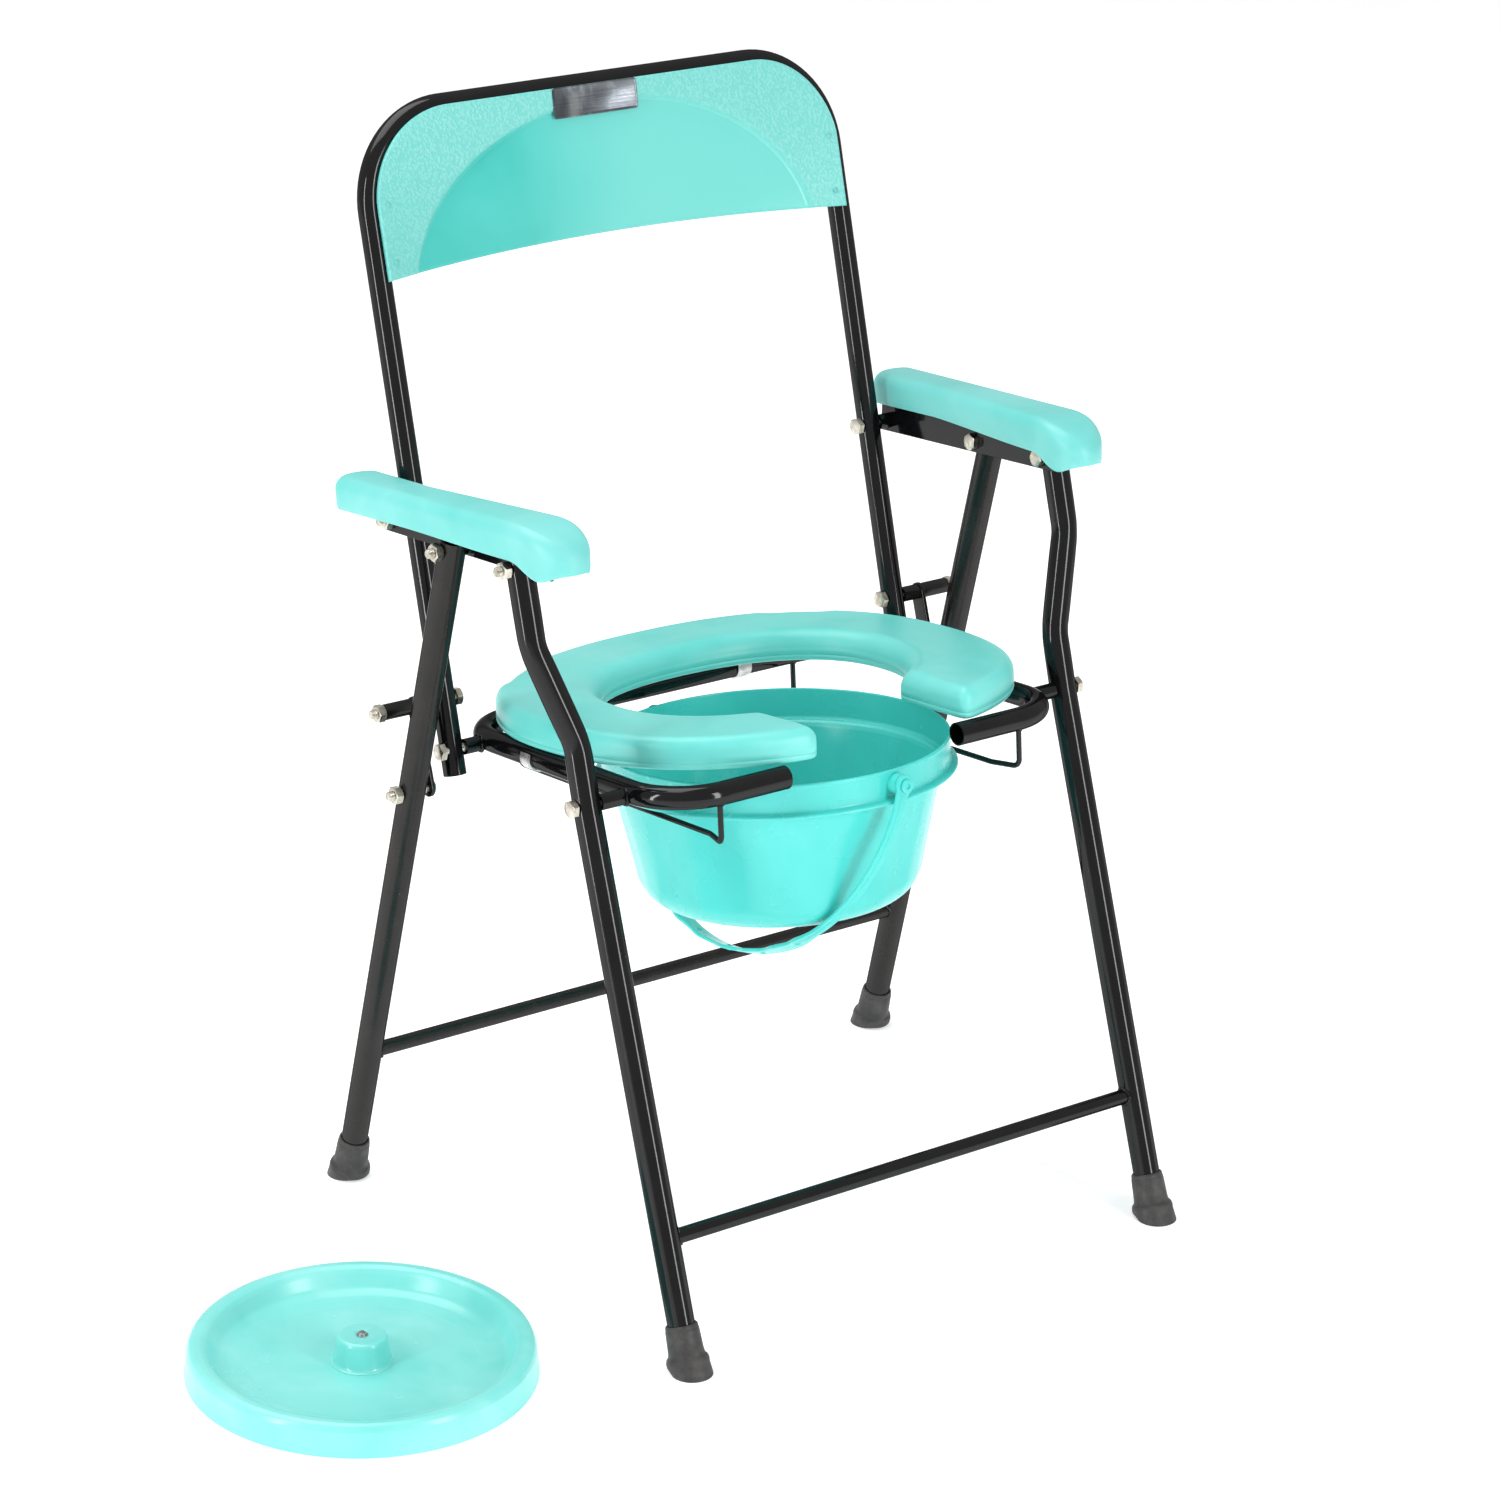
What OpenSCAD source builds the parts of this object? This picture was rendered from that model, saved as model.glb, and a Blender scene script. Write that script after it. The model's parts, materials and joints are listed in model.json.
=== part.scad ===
/* [Side view] */
// Distance from the rear arm pivot to the front leg pivot
arm_span = 203; // [190:1:220]
// Distance from the rear arm pivot to the rear leg pivot
rear_leg_span = 116.6; // [110:0.1:122]
// Distance from the arm pivots down to the seat pivots
post_span = 191.3; // [180:0.1:200]
// Upward slope of the arms and the seat towards the front, in degrees
seat_pitch = 6.4; // [4:0.1:8]
// Lean of the line through the two pivots of each post, in degrees
post_lean = 17.4; // [16:0.1:19]
// Backward lean of the back frame, in degrees
back_lean = 16.4; // [14:0.1:18]
// Distance of the rear arm pivot behind the middle of the feet
arm_pivot_y = 194.4; // [185:0.1:205]
// Height of the rear arm pivot above the floor
arm_pivot_z = 583.4; // [570:0.1:600]
// Distance of all four feet from the middle of the feet, front to back
foot_y = 218; // [200:1:235]
// Distance down the rear leg from its pivot to the link
link_at = 226; // [222:1:230]

/* [Front view] */
// Half distance between the back uprights
upright_x = 230; // [225:1:235]
// Half distance between the front legs below the seat
front_leg_x = 240; // [238:0.5:242]
// Half distance between the front legs at the arms
front_top_x = 266; // [265:0.5:268]
// Half distance between the rear legs at the arms
rear_top_x = 271.5; // [271:0.5:274]
// Half distance between the rear legs at the floor
rear_foot_x = 279; // [275:0.5:282]
// Distance from the middle plane to the inner edge of an arm pad near its rear end
pad_x = 254; // [252:1:256]

/* [Tubes] */
// Outer diameter of the leg tubes
leg_d = 22.2; // [20:0.1:23]
// Outer diameter of the back tube
back_d = 19; // [17:0.1:20]
// Outer diameter of the seat tube
seat_d = 19; // [17:0.1:20]
// Outer diameter of the crossbars
bar_d = 12.7; // [11:0.1:14]
// Outer diameter of the spacers and stubs at the pivots
stub_d = 13; // [12:0.1:14]
// Wall thickness of the tubes
wall = 1.2; // [1:0.1:1.5]
// Diameter of the wire in the bucket rails
wire_d = 4.5; // [4:0.1:5]

/* [Back] */
// Height of the top of the back frame above the floor
back_top_z = 899; // [880:1:920]
// Bend radius at the top corners of the back frame
back_bend = 78; // [60:1:90]
// Height of the back panel, from its lower edge to the middle of the top tube
panel_drop = 132; // [120:1:150]

/* [Seat] */
// Half distance between the side tubes of the seat frame
seat_x = 197; // [190:1:202]
// Bend radius of the seat frame
seat_bend = 50; // [40:1:60]
// Half of the gap between the open ends of the seat frame
seat_gap = 86; // [80:1:95]
// Thickness of the seat ring
ring_t = 26; // [22:1:32]
// Angle by which the ring is turned on its frame, in degrees
ring_turn = 0; // [-2:0.5:2]

/* [Bucket] */
// Radius of the bucket at its rim
rim_r = 143; // [140:1:144]
// Height of the bucket
bucket_h = 134; // [125:1:145]
// Angle by which the bucket is turned about its own axis, in degrees
bucket_turn = 5; // [-10:1:10]
// Angle by which the bail hangs to the left, in degrees
bail_swing = 21; // [0:1:30]

/* [Lid] */
// Distance of the lid from the chair's middle plane
lid_x = -451; // [-460:1:-440]
// Distance of the lid in front of the middle of the feet
lid_y = -75; // [-90:1:-60]
// Outer radius of the lid
lid_r = 138; // [134:1:139]

/* [Hidden] */

$fn = 64;
eps = 0.01;

// The origin lies under the middle of the chair and its lid together
chair_x = 144.75;
chair_y = -28.9;

// Bolts: an M8 shank turning in a close bore
bolt_d = 8;
bore_d = 8.1;
bolt_af = 13;
head_t = 5.3;
nut_t = 6.5;
thread_out = 5;
clear = 0.3;

// Pivots in the side view, as [y, z]
function along(p, r, a) = [p[0] + r * cos(a), p[1] + r * sin(a)];
arm_rear = [arm_pivot_y, arm_pivot_z];
arm_front = along(arm_rear, arm_span, 180 - seat_pitch);
leg_rear = along(arm_rear, rear_leg_span, 180 - seat_pitch);
seat_front = along(arm_front, post_span, -90 - post_lean);
seat_rear = along(arm_rear, post_span, -90 - post_lean);
// The stop bolt sits this far down the upright from the arm pivot
stop_at = 150;
stop = along(arm_rear, stop_at, -90 - back_lean);
rear_foot = [foot_y, 0];
front_foot = [-foot_y, 0];
rear_dir = atan2(rear_foot[1] - leg_rear[1], rear_foot[0] - leg_rear[0]);
link_low = along(leg_rear, link_at, rear_dir);

// Lateral stack at the arms
bar_in = 251;
bar_t = 3;
bar_out = bar_in + bar_t;
link_in = 256.4;
link_t = 3.6;
link_out = link_in + link_t;
seat_rise = 2;

steel = [0.08, 0.08, 0.09];
zinc = [0.72, 0.73, 0.75];
mint = [0.42, 0.88, 0.82];
rubber = [0.17, 0.17, 0.18];

module chair() translate([chair_x, chair_y, 0]) children();

module both() {
    children();
    mirror([1, 0, 0]) children();
}

// Puts children with their Z axis running from a to b
module aim(a, b) {
    d = b - a;
    translate(a) rotate([0, acos(d[2] / norm(d)), atan2(d[1], d[0])]) children();
}

module rod(a, b, d) aim(a, b) cylinder(d = d, h = norm(b - a));

// A round bar along X at the side view point p
module across(p, x0, x1, d) translate([x0, p[0], p[1]]) rotate([0, 90, 0]) cylinder(d = d, h = x1 - x0);

// A hexagon along X at the side view point p
module hexagon(p, x0, x1) translate([x0, p[0], p[1]]) rotate([0, 90, 0])
    cylinder(d = bolt_af / cos(30), h = x1 - x0, $fn = 6);

function at(x, p) = [x, p[0], p[1]];

// ---------- back frame ----------

module back_plane() translate(at(0, arm_rear)) rotate([-back_lean, 0, 0]) children();

back_top = (back_top_z - arm_pivot_z - back_d / 2) / cos(back_lean);
post_end = 21;
back_low = -post_span - post_end;

module bend(r, d, angle) rotate_extrude(angle = angle) translate([r, 0]) circle(d = d);

module back_tube(d) {
    both() translate([upright_x, 0, back_low]) cylinder(d = d, h = back_top - back_bend - back_low);
    both() translate([upright_x - back_bend, 0, back_top - back_bend])
        rotate([90, 0, 0]) bend(back_bend, d, 90);
    translate([-upright_x + back_bend, 0, back_top]) rotate([0, 90, 0])
        cylinder(d = d, h = 2 * (upright_x - back_bend));
}

module back_holes(d) both() for (p = [arm_rear, stop, seat_rear])
    across(p, upright_x - back_d, upright_x + back_d, d);

module back_frame() color(steel) chair() difference() {
    back_plane() back_tube(back_d);
    back_plane() translate([0, 0, -eps]) back_bore();
    back_holes(bolt_d);
}

module back_bore() {
    d = back_d - 2 * wall;
    both() translate([upright_x, 0, back_low - 1]) cylinder(d = d, h = back_top - back_bend - back_low + 1);
    both() translate([upright_x - back_bend, 0, back_top - back_bend])
        rotate([90, 0, 0]) bend(back_bend, d, 90);
    translate([-upright_x + back_bend, 0, back_top]) rotate([0, 90, 0])
        cylinder(d = d, h = 2 * (upright_x - back_bend));
}

// ---------- back panel ----------

panel_t = 4;
panel_half = 229;
panel_low = back_top - panel_drop;
panel_arch = 10;
panel_bow = 26;
panel_curl = 1.5;
panel_back = -back_d / 2 - 0.6;
panel_cols = 24;
panel_rows = 6;

// Upper edge of the panel at a distance x from the middle
function panel_high(x) = abs(x) < panel_half - back_bend ? back_top
    : back_top - back_bend + sqrt(max(0, pow(back_bend, 2) - pow(abs(x) - panel_half + back_bend, 2)));
// The lower edge is bowed back and the upper edge is straight
function panel_y(x, z) = panel_back + panel_bow * (1 - pow(x / panel_half, 2))
    * pow(max(0, back_top - z) / panel_drop, panel_curl);
function panel_point(i, j, t) = let (
    x = -panel_half * cos(180 * i / panel_cols),
    low = panel_low + panel_arch * (1 - pow(x / panel_half, 2)),
    z = low + (panel_high(x) - low) * j / panel_rows)
    [x, panel_y(x, z) - t, z];
function panel_face(n) = [for (i = [0:panel_cols - 1]) for (j = [0:panel_rows - 1])
    let (a = n + i * (panel_rows + 1) + j) [a, a + 1, a + panel_rows + 2, a + panel_rows + 1]];
panel_count = (panel_cols + 1) * (panel_rows + 1);
function flip(faces) = [for (f = faces) [f[3], f[2], f[1], f[0]]];
panel_rim = concat([for (i = [0:panel_cols - 1]) i * (panel_rows + 1)],
    [for (j = [0:panel_rows - 1]) panel_cols * (panel_rows + 1) + j],
    [for (i = [panel_cols:-1:1]) i * (panel_rows + 1) + panel_rows],
    [for (j = [panel_rows:-1:1]) j]);
panel_sides = [for (k = [0:len(panel_rim) - 1])
    let (a = panel_rim[k], b = panel_rim[(k + 1) % len(panel_rim)])
    [b, a, a + panel_count, b + panel_count]];

module back_panel() color(mint) chair() back_plane() polyhedron(
    points = [for (t = [0, panel_t]) for (i = [0:panel_cols]) for (j = [0:panel_rows]) panel_point(i, j, t)],
    faces = concat(flip(panel_face(0)), panel_face(panel_count), panel_sides), convexity = 4);

// Rivets through the panel's edge, proud of its front
rivet_x = panel_half - 9;
rivet_gap = 0.7;

module panel_rivets() color(zinc) chair() back_plane() both()
    for (z = [panel_low + 14, panel_low + 60])
        translate([rivet_x, panel_y(rivet_x, z) - panel_t - rivet_gap, z])
        rotate([90, 0, 0]) cylinder(d = 5, h = 1);

label_w = 83;
label_h = 25;
label_x = -10;
label_z = back_top - label_h / 2;
label_t = 0.8;
label_tilt = atan((panel_y(label_x, back_top - label_h) - panel_y(label_x, back_top)) / label_h);

module label_plate() color(zinc) chair() back_plane()
    translate([label_x, panel_y(label_x, label_z) - panel_t - clear, label_z])
    rotate([label_tilt, 0, 0]) translate([-label_w / 2, -label_t, -label_h / 2])
    cube([label_w, label_t, label_h]);

// ---------- fasteners and spacers ----------

up_in = upright_x - back_d / 2;
up_out = upright_x + back_d / 2;

// A hexagon nut or head along X with a hole for the shank
module hex_ring(p, x0, x1) difference() {
    hexagon(p, x0, x1);
    across(p, x0 - 1, x1 + 1, bolt_d);
}

// A bolt with its head at head_x, pointing inwards, and a nut at nut_x
module bolt(p, head_x, nut_x) {
    across(p, head_x - head_t, nut_x + nut_t + thread_out, bolt_d);
    hex_ring(p, head_x - head_t, head_x);
    hex_ring(p, nut_x, nut_x + nut_t);
}

// A plain bolt that reaches in from its outer head at head_x
module pivot_bolt(p, tip_x, head_x) {
    across(p, tip_x, head_x + head_t, bolt_d);
    hex_ring(p, head_x, head_x + head_t);
}

module sleeve(p, x0, x1, bore) difference() {
    across(p, x0, x1, stub_d);
    across(p, x0 - 1, x1 + 1, bore);
}

// The bolts reach this far in from the seat stubs' open ends
stub_floor = seat_x + 12;
stop_nut_x = 288;

module rear_arm_bolts() color(zinc) chair() both() bolt(arm_rear, up_in - clear, bar_out + clear);

module rear_arm_spacers() color(steel) chair() both()
    sleeve(arm_rear, up_out + clear, bar_in - clear, bolt_d);

module lower_pivot_bolts() color(zinc) chair() both()
    pivot_bolt(seat_rear, stub_floor + 1, up_out + clear);

module stop_bolts() color(zinc) chair() both() bolt(stop, up_in - clear, stop_nut_x);

module stop_spacers() color(steel) chair() both() {
    sleeve(stop, up_out + clear, link_in - clear, bolt_d);
    sleeve(stop, link_out + clear, stop_nut_x - clear, bolt_d);
}

// ---------- arms ----------

// The arm's own frame: origin at its rear pivot, the front towards -Y
module arm_place() chair() translate(at(0, arm_rear)) rotate([-seat_pitch, 0, 0]) children();

bar_low = -9.5;
bar_high = 26;
bar_wide = 28;
bar_front = -238;
bar_rear = 10;
screw_at = [-58, -160];
screw_x = bar_in + 18;
screw_d = 4;

module arm_bar() color(steel) difference() {
    arm_place() {
        rotate([90, 0, 90]) translate([0, 0, bar_in]) linear_extrude(bar_t)
            polygon([[bar_front, bar_high], [bar_front + 12, bar_low], [bar_rear - 2, bar_low],
                [bar_rear, bar_low + 4], [bar_rear - 4, bar_high]]);
        translate([bar_in + bar_t - eps, bar_front, bar_high - bar_t])
            cube([bar_wide - bar_t, bar_rear - 4 - bar_front, bar_t]);
    }
    chair() for (p = [arm_rear, leg_rear, arm_front]) across(p, bar_in - 1, bar_out + 1, bore_d);
    arm_place() for (y = screw_at) translate([screw_x, y, 0]) cylinder(d = screw_d, h = 40);
}

// Top view of the pad: its inner and outer edges at a distance y along the arm
pad_rear = 30;
pad_front = -266;
pad_top = 39;
pad_skirt = 13;
pad_wall = 3;
pad_lap = 2;
nose_drop = 16;
nose_y = -215;

// The inner edge stays inside the bar's upright flange
function pad_in(y) = min(bar_in - pad_lap, pad_x + (y + 20) * 0.11);
function pad_out(y) = pad_x + 38 + (y + 20) * 0.045;
// Rounding of the two ends, from 1 along the pad to 0 at its tips
tail_len = 22;
nose_len = 36;
function pad_end(y) = y > pad_rear - tail_len ? sqrt(max(0, 1 - pow((y - pad_rear + tail_len) / tail_len, 2)))
    : y < pad_front + nose_len ? sqrt(max(0, 1 - pow((pad_front + nose_len - y) / nose_len, 2))) : 1;
function pad_edge(y, side, inset) = (pad_in(y) + pad_out(y)) / 2
    + side * max(0, (pad_out(y) - pad_in(y)) / 2 * pad_end(y) - inset);
pad_rows = concat([for (a = [90:-15:0]) pad_rear - tail_len * (1 - sin(a))],
    [for (y = [-20:-35:-200]) y], [for (a = [0:15:90]) pad_front + nose_len * (1 - sin(a))]);

module pad_outline(inset) polygon(concat(
    [for (y = pad_rows) [pad_edge(y, -1, inset), y]],
    [for (i = [len(pad_rows) - 2:-1:1]) [pad_edge(pad_rows[i], 1, inset), pad_rows[i]]]));

// Side view of the pad, with its nose curving down
module pad_side() polygon(concat(
    [[pad_rear + 1, pad_skirt], [pad_rear + 1, pad_top - 8], [pad_rear - 8, pad_top]],
    [for (t = [0:0.2:1]) [nose_y - (nose_y - pad_front + 1) * t, pad_top - nose_drop * t * t]],
    [[pad_front - 1, pad_skirt - nose_drop + 4], [pad_front + 10, pad_skirt - nose_drop],
        [nose_y, pad_skirt - 4.6]]));

module arm_pad() color(mint) arm_place() difference() {
    intersection() {
        translate([0, 0, -40]) linear_extrude(90) pad_outline(0);
        rotate([90, 0, 90]) translate([0, 0, 200]) linear_extrude(120) pad_side();
    }
    translate([0, 0, -60]) linear_extrude(60 + bar_high) intersection() {
        pad_outline(pad_wall);
        translate([200, pad_front + 18]) square([120, pad_rear - pad_front - 22]);
    }
    translate([bar_in - clear, bar_front - clear, -60])
        cube([bar_t + 2 * clear, bar_rear - bar_front + 2 * clear, 60 + bar_high]);
    for (y = screw_at) translate([screw_x, y, 0]) cylinder(d = screw_d, h = bar_high + 9);
}

module pad_screws() color(zinc) arm_place() for (y = screw_at) translate([screw_x, y, 0]) {
    translate([0, 0, bar_high - bar_t - 2]) cylinder(d = 8, h = 2);
    translate([0, 0, bar_high - bar_t - eps]) cylinder(d = screw_d, h = bar_t + 9);
}

module arm_bar_left() left_side() arm_bar();
module arm_bar_right() arm_bar();
module arm_pad_left() left_side() arm_pad();
module arm_pad_right() arm_pad();
module pad_screws_left() left_side() pad_screws();
module pad_screws_right() pad_screws();

// Mirrors a finished right-hand part to the chair's other side
module left_side() translate([2 * chair_x, 0, 0]) mirror([1, 0, 0]) children();

// ---------- front frame ----------

leg_r = leg_d / 2;
leg_cap = 9;
jog_top = 63;
jog_low = 143;
tube_end = 6;
lower_lean = atan2(seat_front[0] - front_foot[0], seat_front[1]);
lower_len = norm(seat_front - front_foot);
leg_top = along(arm_front, leg_cap, 90 - post_lean);
leg_low = along(front_foot, tube_end, 90 - lower_lean);
leg_path = [at(front_top_x, leg_top), at(front_top_x, along(arm_front, jog_top, -90 - post_lean)),
    at(front_leg_x, along(arm_front, jog_low, -90 - post_lean)), at(front_leg_x, seat_front),
    at(front_leg_x, leg_low)];
// The balls that fill the bends are this much larger than the tube or wire
ball_over = 0.3;

module front_leg_solid(d, over = 0) {
    for (i = [0:3]) rod(leg_path[i], leg_path[i + 1], d);
    for (i = [1:3]) translate(leg_path[i]) sphere(d = d + ball_over);
    if (over > 0) for (i = [0, 4])
        aim(leg_path[i], leg_path[i == 0 ? 1 : 3]) translate([0, 0, -over]) cylinder(d = d, h = 2 * over);
}

module front_leg() color(steel) chair() difference() {
    front_leg_solid(leg_d);
    front_leg_solid(leg_d - 2 * wall, 1);
    across(arm_front, front_top_x - leg_d, front_top_x + leg_d, bolt_d);
    across(seat_front, front_leg_x - leg_d, front_leg_x + leg_d, bolt_d);
}

module front_leg_left() left_side() front_leg();
module front_leg_right() front_leg();

front_bar_z = 99;
rear_bar_z = 124;
front_bar = along(seat_front, (seat_front[1] - front_bar_z) / cos(lower_lean), -90 - lower_lean);
rear_bar = along(rear_foot, rear_bar_z / sin(-rear_dir), 180 + rear_dir);
rear_bar_x = rear_foot_x - (rear_foot_x - rear_top_x) * rear_bar_z / leg_rear[1];

module front_crossbar() color(steel) chair() difference() {
    across(front_bar, -front_leg_x, front_leg_x, bar_d);
    across(front_bar, -front_leg_x - 1, front_leg_x + 1, bar_d - 2 * wall);
    both() translate(at(front_leg_x, seat_front)) rotate([-lower_lean, 0, 0])
        translate([0, 0, -lower_len]) cylinder(d = leg_d, h = lower_len);
}

// Rubber tip round the end of a leg, from the floor up along the leg
module tip() rotate_extrude() polygon([[0, -12], [17, -12], [17.4, 9], [16.4, 13], [14.6, 15],
    [13.4, 35], [12.6, 38], [leg_r, 38], [leg_r, tube_end], [0, tube_end]]);

module above_floor() difference() {
    children();
    translate([-500, -500, -50]) cube([1000, 1000, 50]);
}

module front_feet() color(rubber) chair() both() above_floor()
    translate(at(front_leg_x, front_foot)) rotate([-lower_lean, 0, 0]) tip();

module front_top_bolts() color(zinc) chair() both()
    bolt(arm_front, bar_in - clear, front_top_x + leg_r + clear);

module seat_pivot_bolts() color(zinc) chair() both()
    pivot_bolt(seat_front, stub_floor + 1, front_leg_x + leg_r + clear);

// ---------- rear frame ----------

rear_top = at(rear_top_x, leg_rear);
rear_low = at(rear_foot_x, rear_foot);
rear_len = norm(rear_top - rear_low);
rear_link_x = rear_top_x + (rear_foot_x - rear_top_x) * link_at / rear_len;

module rear_leg_solid(d, top, low) aim(rear_low, rear_top) translate([0, 0, low])
    cylinder(d = d, h = rear_len + top - low);

module rear_leg() color(steel) chair() difference() {
    rear_leg_solid(leg_d, leg_cap, tube_end);
    rear_leg_solid(leg_d - 2 * wall, leg_cap + 1, tube_end - 1);
    across(leg_rear, rear_top_x - leg_d, rear_top_x + leg_d, bolt_d);
    across(link_low, rear_link_x - leg_d, rear_link_x + leg_d, bolt_d);
}

module rear_leg_left() left_side() rear_leg();
module rear_leg_right() rear_leg();

module rear_crossbar() color(steel) chair() difference() {
    across(rear_bar, -rear_bar_x, rear_bar_x, bar_d);
    across(rear_bar, -rear_bar_x - 1, rear_bar_x + 1, bar_d - 2 * wall);
    both() rear_leg_solid(leg_d, 0, 0);
}

module rear_feet() color(rubber) chair() both() above_floor() aim(rear_low, rear_top)
    rotate([0, 0, 45]) tip();

module rear_top_bolts() color(zinc) chair() both()
    bolt(leg_rear, bar_in - clear, rear_top_x + leg_r + 2 * clear);

module rear_top_spacers() color(steel) chair() both()
    sleeve(leg_rear, bar_out + clear, rear_top_x - leg_r - 2 * clear, bolt_d);

// The link's bolt ends here and the leg's part of it begins
split_x = link_out + 1.7;

module link_nuts() color(zinc) chair() both() {
    across(link_low, split_x + 0.1, rear_link_x + leg_r + 2 * clear + nut_t + thread_out, bolt_d);
    hex_ring(link_low, rear_link_x + leg_r + 2 * clear, rear_link_x + leg_r + 2 * clear + nut_t);
}

// ---------- links ----------

link_w = 15;

module link() color(steel) chair() difference() {
    union() {
        for (p = [stop, link_low]) across(p, link_in, link_out, link_w + 0.6);
        translate([0, stop[0], stop[1]])
            rotate([atan2(stop[0] - link_low[0], link_low[1] - stop[1]), 0, 0])
            translate([link_in, -link_w / 2, 0]) cube([link_t, link_w, norm(stop - link_low)]);
    }
    across(stop, link_in - 1, link_out + 1, bore_d);
    across(link_low, link_in - 1, link_out + 1, bolt_d);
}

module link_bolt() color(zinc) chair() {
    across(link_low, link_in - 3, split_x, bolt_d);
    difference() {
        across(link_low, link_in - 3, link_in, 13);
        across(link_low, link_in - 4, link_in + 1, bolt_d);
    }
}

module link_left() left_side() link();
module link_right() link();
module link_bolt_left() left_side() link_bolt();
module link_bolt_right() link_bolt();

// ---------- seat ----------

// The seat's own frame: origin at its rear pivot, the plane of its tube at z = 0
module seat_place() chair() translate(at(0, seat_rear)) rotate([-seat_pitch, 0, 0])
    translate([0, 0, seat_rise]) children();

seat_r = seat_d / 2;
seat_front_y = -254;
seat_rear_y = 39;

module seat_tube(d, over = 0) {
    both() {
        translate([seat_gap - over, seat_front_y, 0]) rotate([0, 90, 0])
            cylinder(d = d, h = seat_x - seat_bend - seat_gap + over);
        translate([seat_x - seat_bend, seat_front_y + seat_bend, 0]) rotate([0, 0, -90])
            bend(seat_bend, d, 90);
        translate([seat_x, seat_front_y + seat_bend, 0]) rotate([-90, 0, 0])
            cylinder(d = d, h = seat_rear_y - seat_front_y - 2 * seat_bend);
        translate([seat_x - seat_bend, seat_rear_y - seat_bend, 0]) bend(seat_bend, d, 90);
    }
    translate([-seat_x + seat_bend, seat_rear_y, 0]) rotate([0, 90, 0])
        cylinder(d = d, h = 2 * (seat_x - seat_bend));
}

module seat_frame() color(steel) seat_place() difference() {
    seat_tube(seat_d);
    seat_tube(seat_d - 2 * wall, 1);
}

module seat_stubs() color(steel) difference() {
    chair() both() {
        across(seat_rear, seat_x - 4, up_in - clear, stub_d);
        across(seat_front, seat_x, front_leg_x - leg_r - clear, stub_d);
    }
    chair() both() for (p = [seat_rear, seat_front]) across(p, stub_floor, upright_x, bore_d);
    seat_place() seat_tube(seat_d);
}

wire_r = wire_d / 2;
rail_x = 142;
rail_mouth_x = 150;
rail_z = -40;
rail_path = [[rail_mouth_x, seat_front_y, 0], [rail_mouth_x, seat_front_y, rail_z],
    [rail_x, seat_front_y + 26, rail_z], [rail_x, seat_rear_y, rail_z], [rail_x, seat_rear_y, 0]];

module seat_rail() color(steel) seat_place() difference() {
    union() {
        for (i = [0:3]) rod(rail_path[i], rail_path[i + 1], wire_d);
        for (i = [1:3]) translate(rail_path[i]) sphere(d = wire_d + ball_over);
    }
    seat_tube(seat_d);
}

module seat_rail_left() left_side() seat_rail();
module seat_rail_right() seat_rail();

// Plan of the ring: two rounded ovals with a gap at the front
ring_low = seat_r + 0.1;
ring_x = 8;
ring_y = -88;
ring_out = [207, 176];
ring_in = [132, 101];
ring_power = 2.3;
// The gap is off the ring's middle: its two sides from the ring's centre
gap_left = 60;
gap_right = 84;

function oval(s, t) = [s[0] * sign(cos(t)) * pow(abs(cos(t)), 2 / ring_power),
    s[1] * sign(sin(t)) * pow(abs(sin(t)), 2 / ring_power)];
function gap_angle(s, x) = acos(pow(x / s[0], ring_power / 2));
function oval_arc(s, n) = let (a = -gap_angle(s, gap_right), b = 180 + gap_angle(s, gap_left))
    [for (i = [0:n]) oval(s, a + (b - a) * i / n)];

module seat_ring() color(mint) seat_place() difference() {
    translate([ring_x, ring_y, ring_low]) rotate([0, 0, ring_turn]) linear_extrude(ring_t)
        polygon(concat(oval_arc(ring_out, 44), [for (i = [36:-1:0]) oval_arc(ring_in, 36)[i]]));
    clip_screw_spots() cylinder(d = screw_d, h = 22);
}

// Clips hold the ring on the tube: the back ones by two screws, the side ones by one on the inner side
clip_w = 14;
clip_t = 1.2;
clip_screw = 15;
clip_x = 84;
clip_y = -70;
back_tabs = [-1, 1];
side_tabs = [1];

module back_clip_spots() for (x = [-clip_x, clip_x]) translate([x, seat_rear_y, 0]) children();

module side_clip_spots() for (s = [-1, 1]) translate([s * seat_x, clip_y, 0]) rotate([0, 0, s * 90])
    children();

module clip_screw_spots() {
    back_clip_spots() for (s = back_tabs) translate([0, s * clip_screw, 0]) children();
    side_clip_spots() for (s = side_tabs) translate([0, s * clip_screw, 0]) children();
}

// A strap under the tube, with a leg and a screw tab on each side that tabs lists
module clip(tabs) rotate([90, 0, 90]) translate([0, 0, -clip_w / 2]) linear_extrude(clip_w) difference() {
    leg = seat_r + 0.1 + clip_t;
    tab = clip_screw + 5;
    union() {
        circle(r = leg);
        for (s = tabs) {
            translate([min(0, s * leg), 0]) square([leg, ring_low]);
            translate([min(0, s * tab), ring_low - clip_t]) square([tab, clip_t]);
        }
    }
    circle(r = seat_r + 0.1);
    translate([-seat_r - 0.1, 0]) square([seat_d + 0.2, seat_d]);
}

module seat_clips() color(zinc) seat_place() difference() {
    union() {
        back_clip_spots() clip(back_tabs);
        side_clip_spots() clip(side_tabs);
    }
    clip_screw_spots() cylinder(d = screw_d, h = 22);
}

module clip_screws() color(zinc) seat_place() clip_screw_spots() translate([0, 0, ring_low - clip_t]) {
    cylinder(d = screw_d, h = 13);
    translate([0, 0, -2]) cylinder(d = 7, h = 2);
}

// ---------- bucket ----------

bucket_y = -125;
rim_z = -seat_r - 1;
collar_h = 27;
lip_r = 148.4;
pin_z = -12;
skin = 2.2;

module bucket_place() seat_place() translate([0, bucket_y, rim_z]) rotate([0, 0, bucket_turn])
    children();

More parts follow.
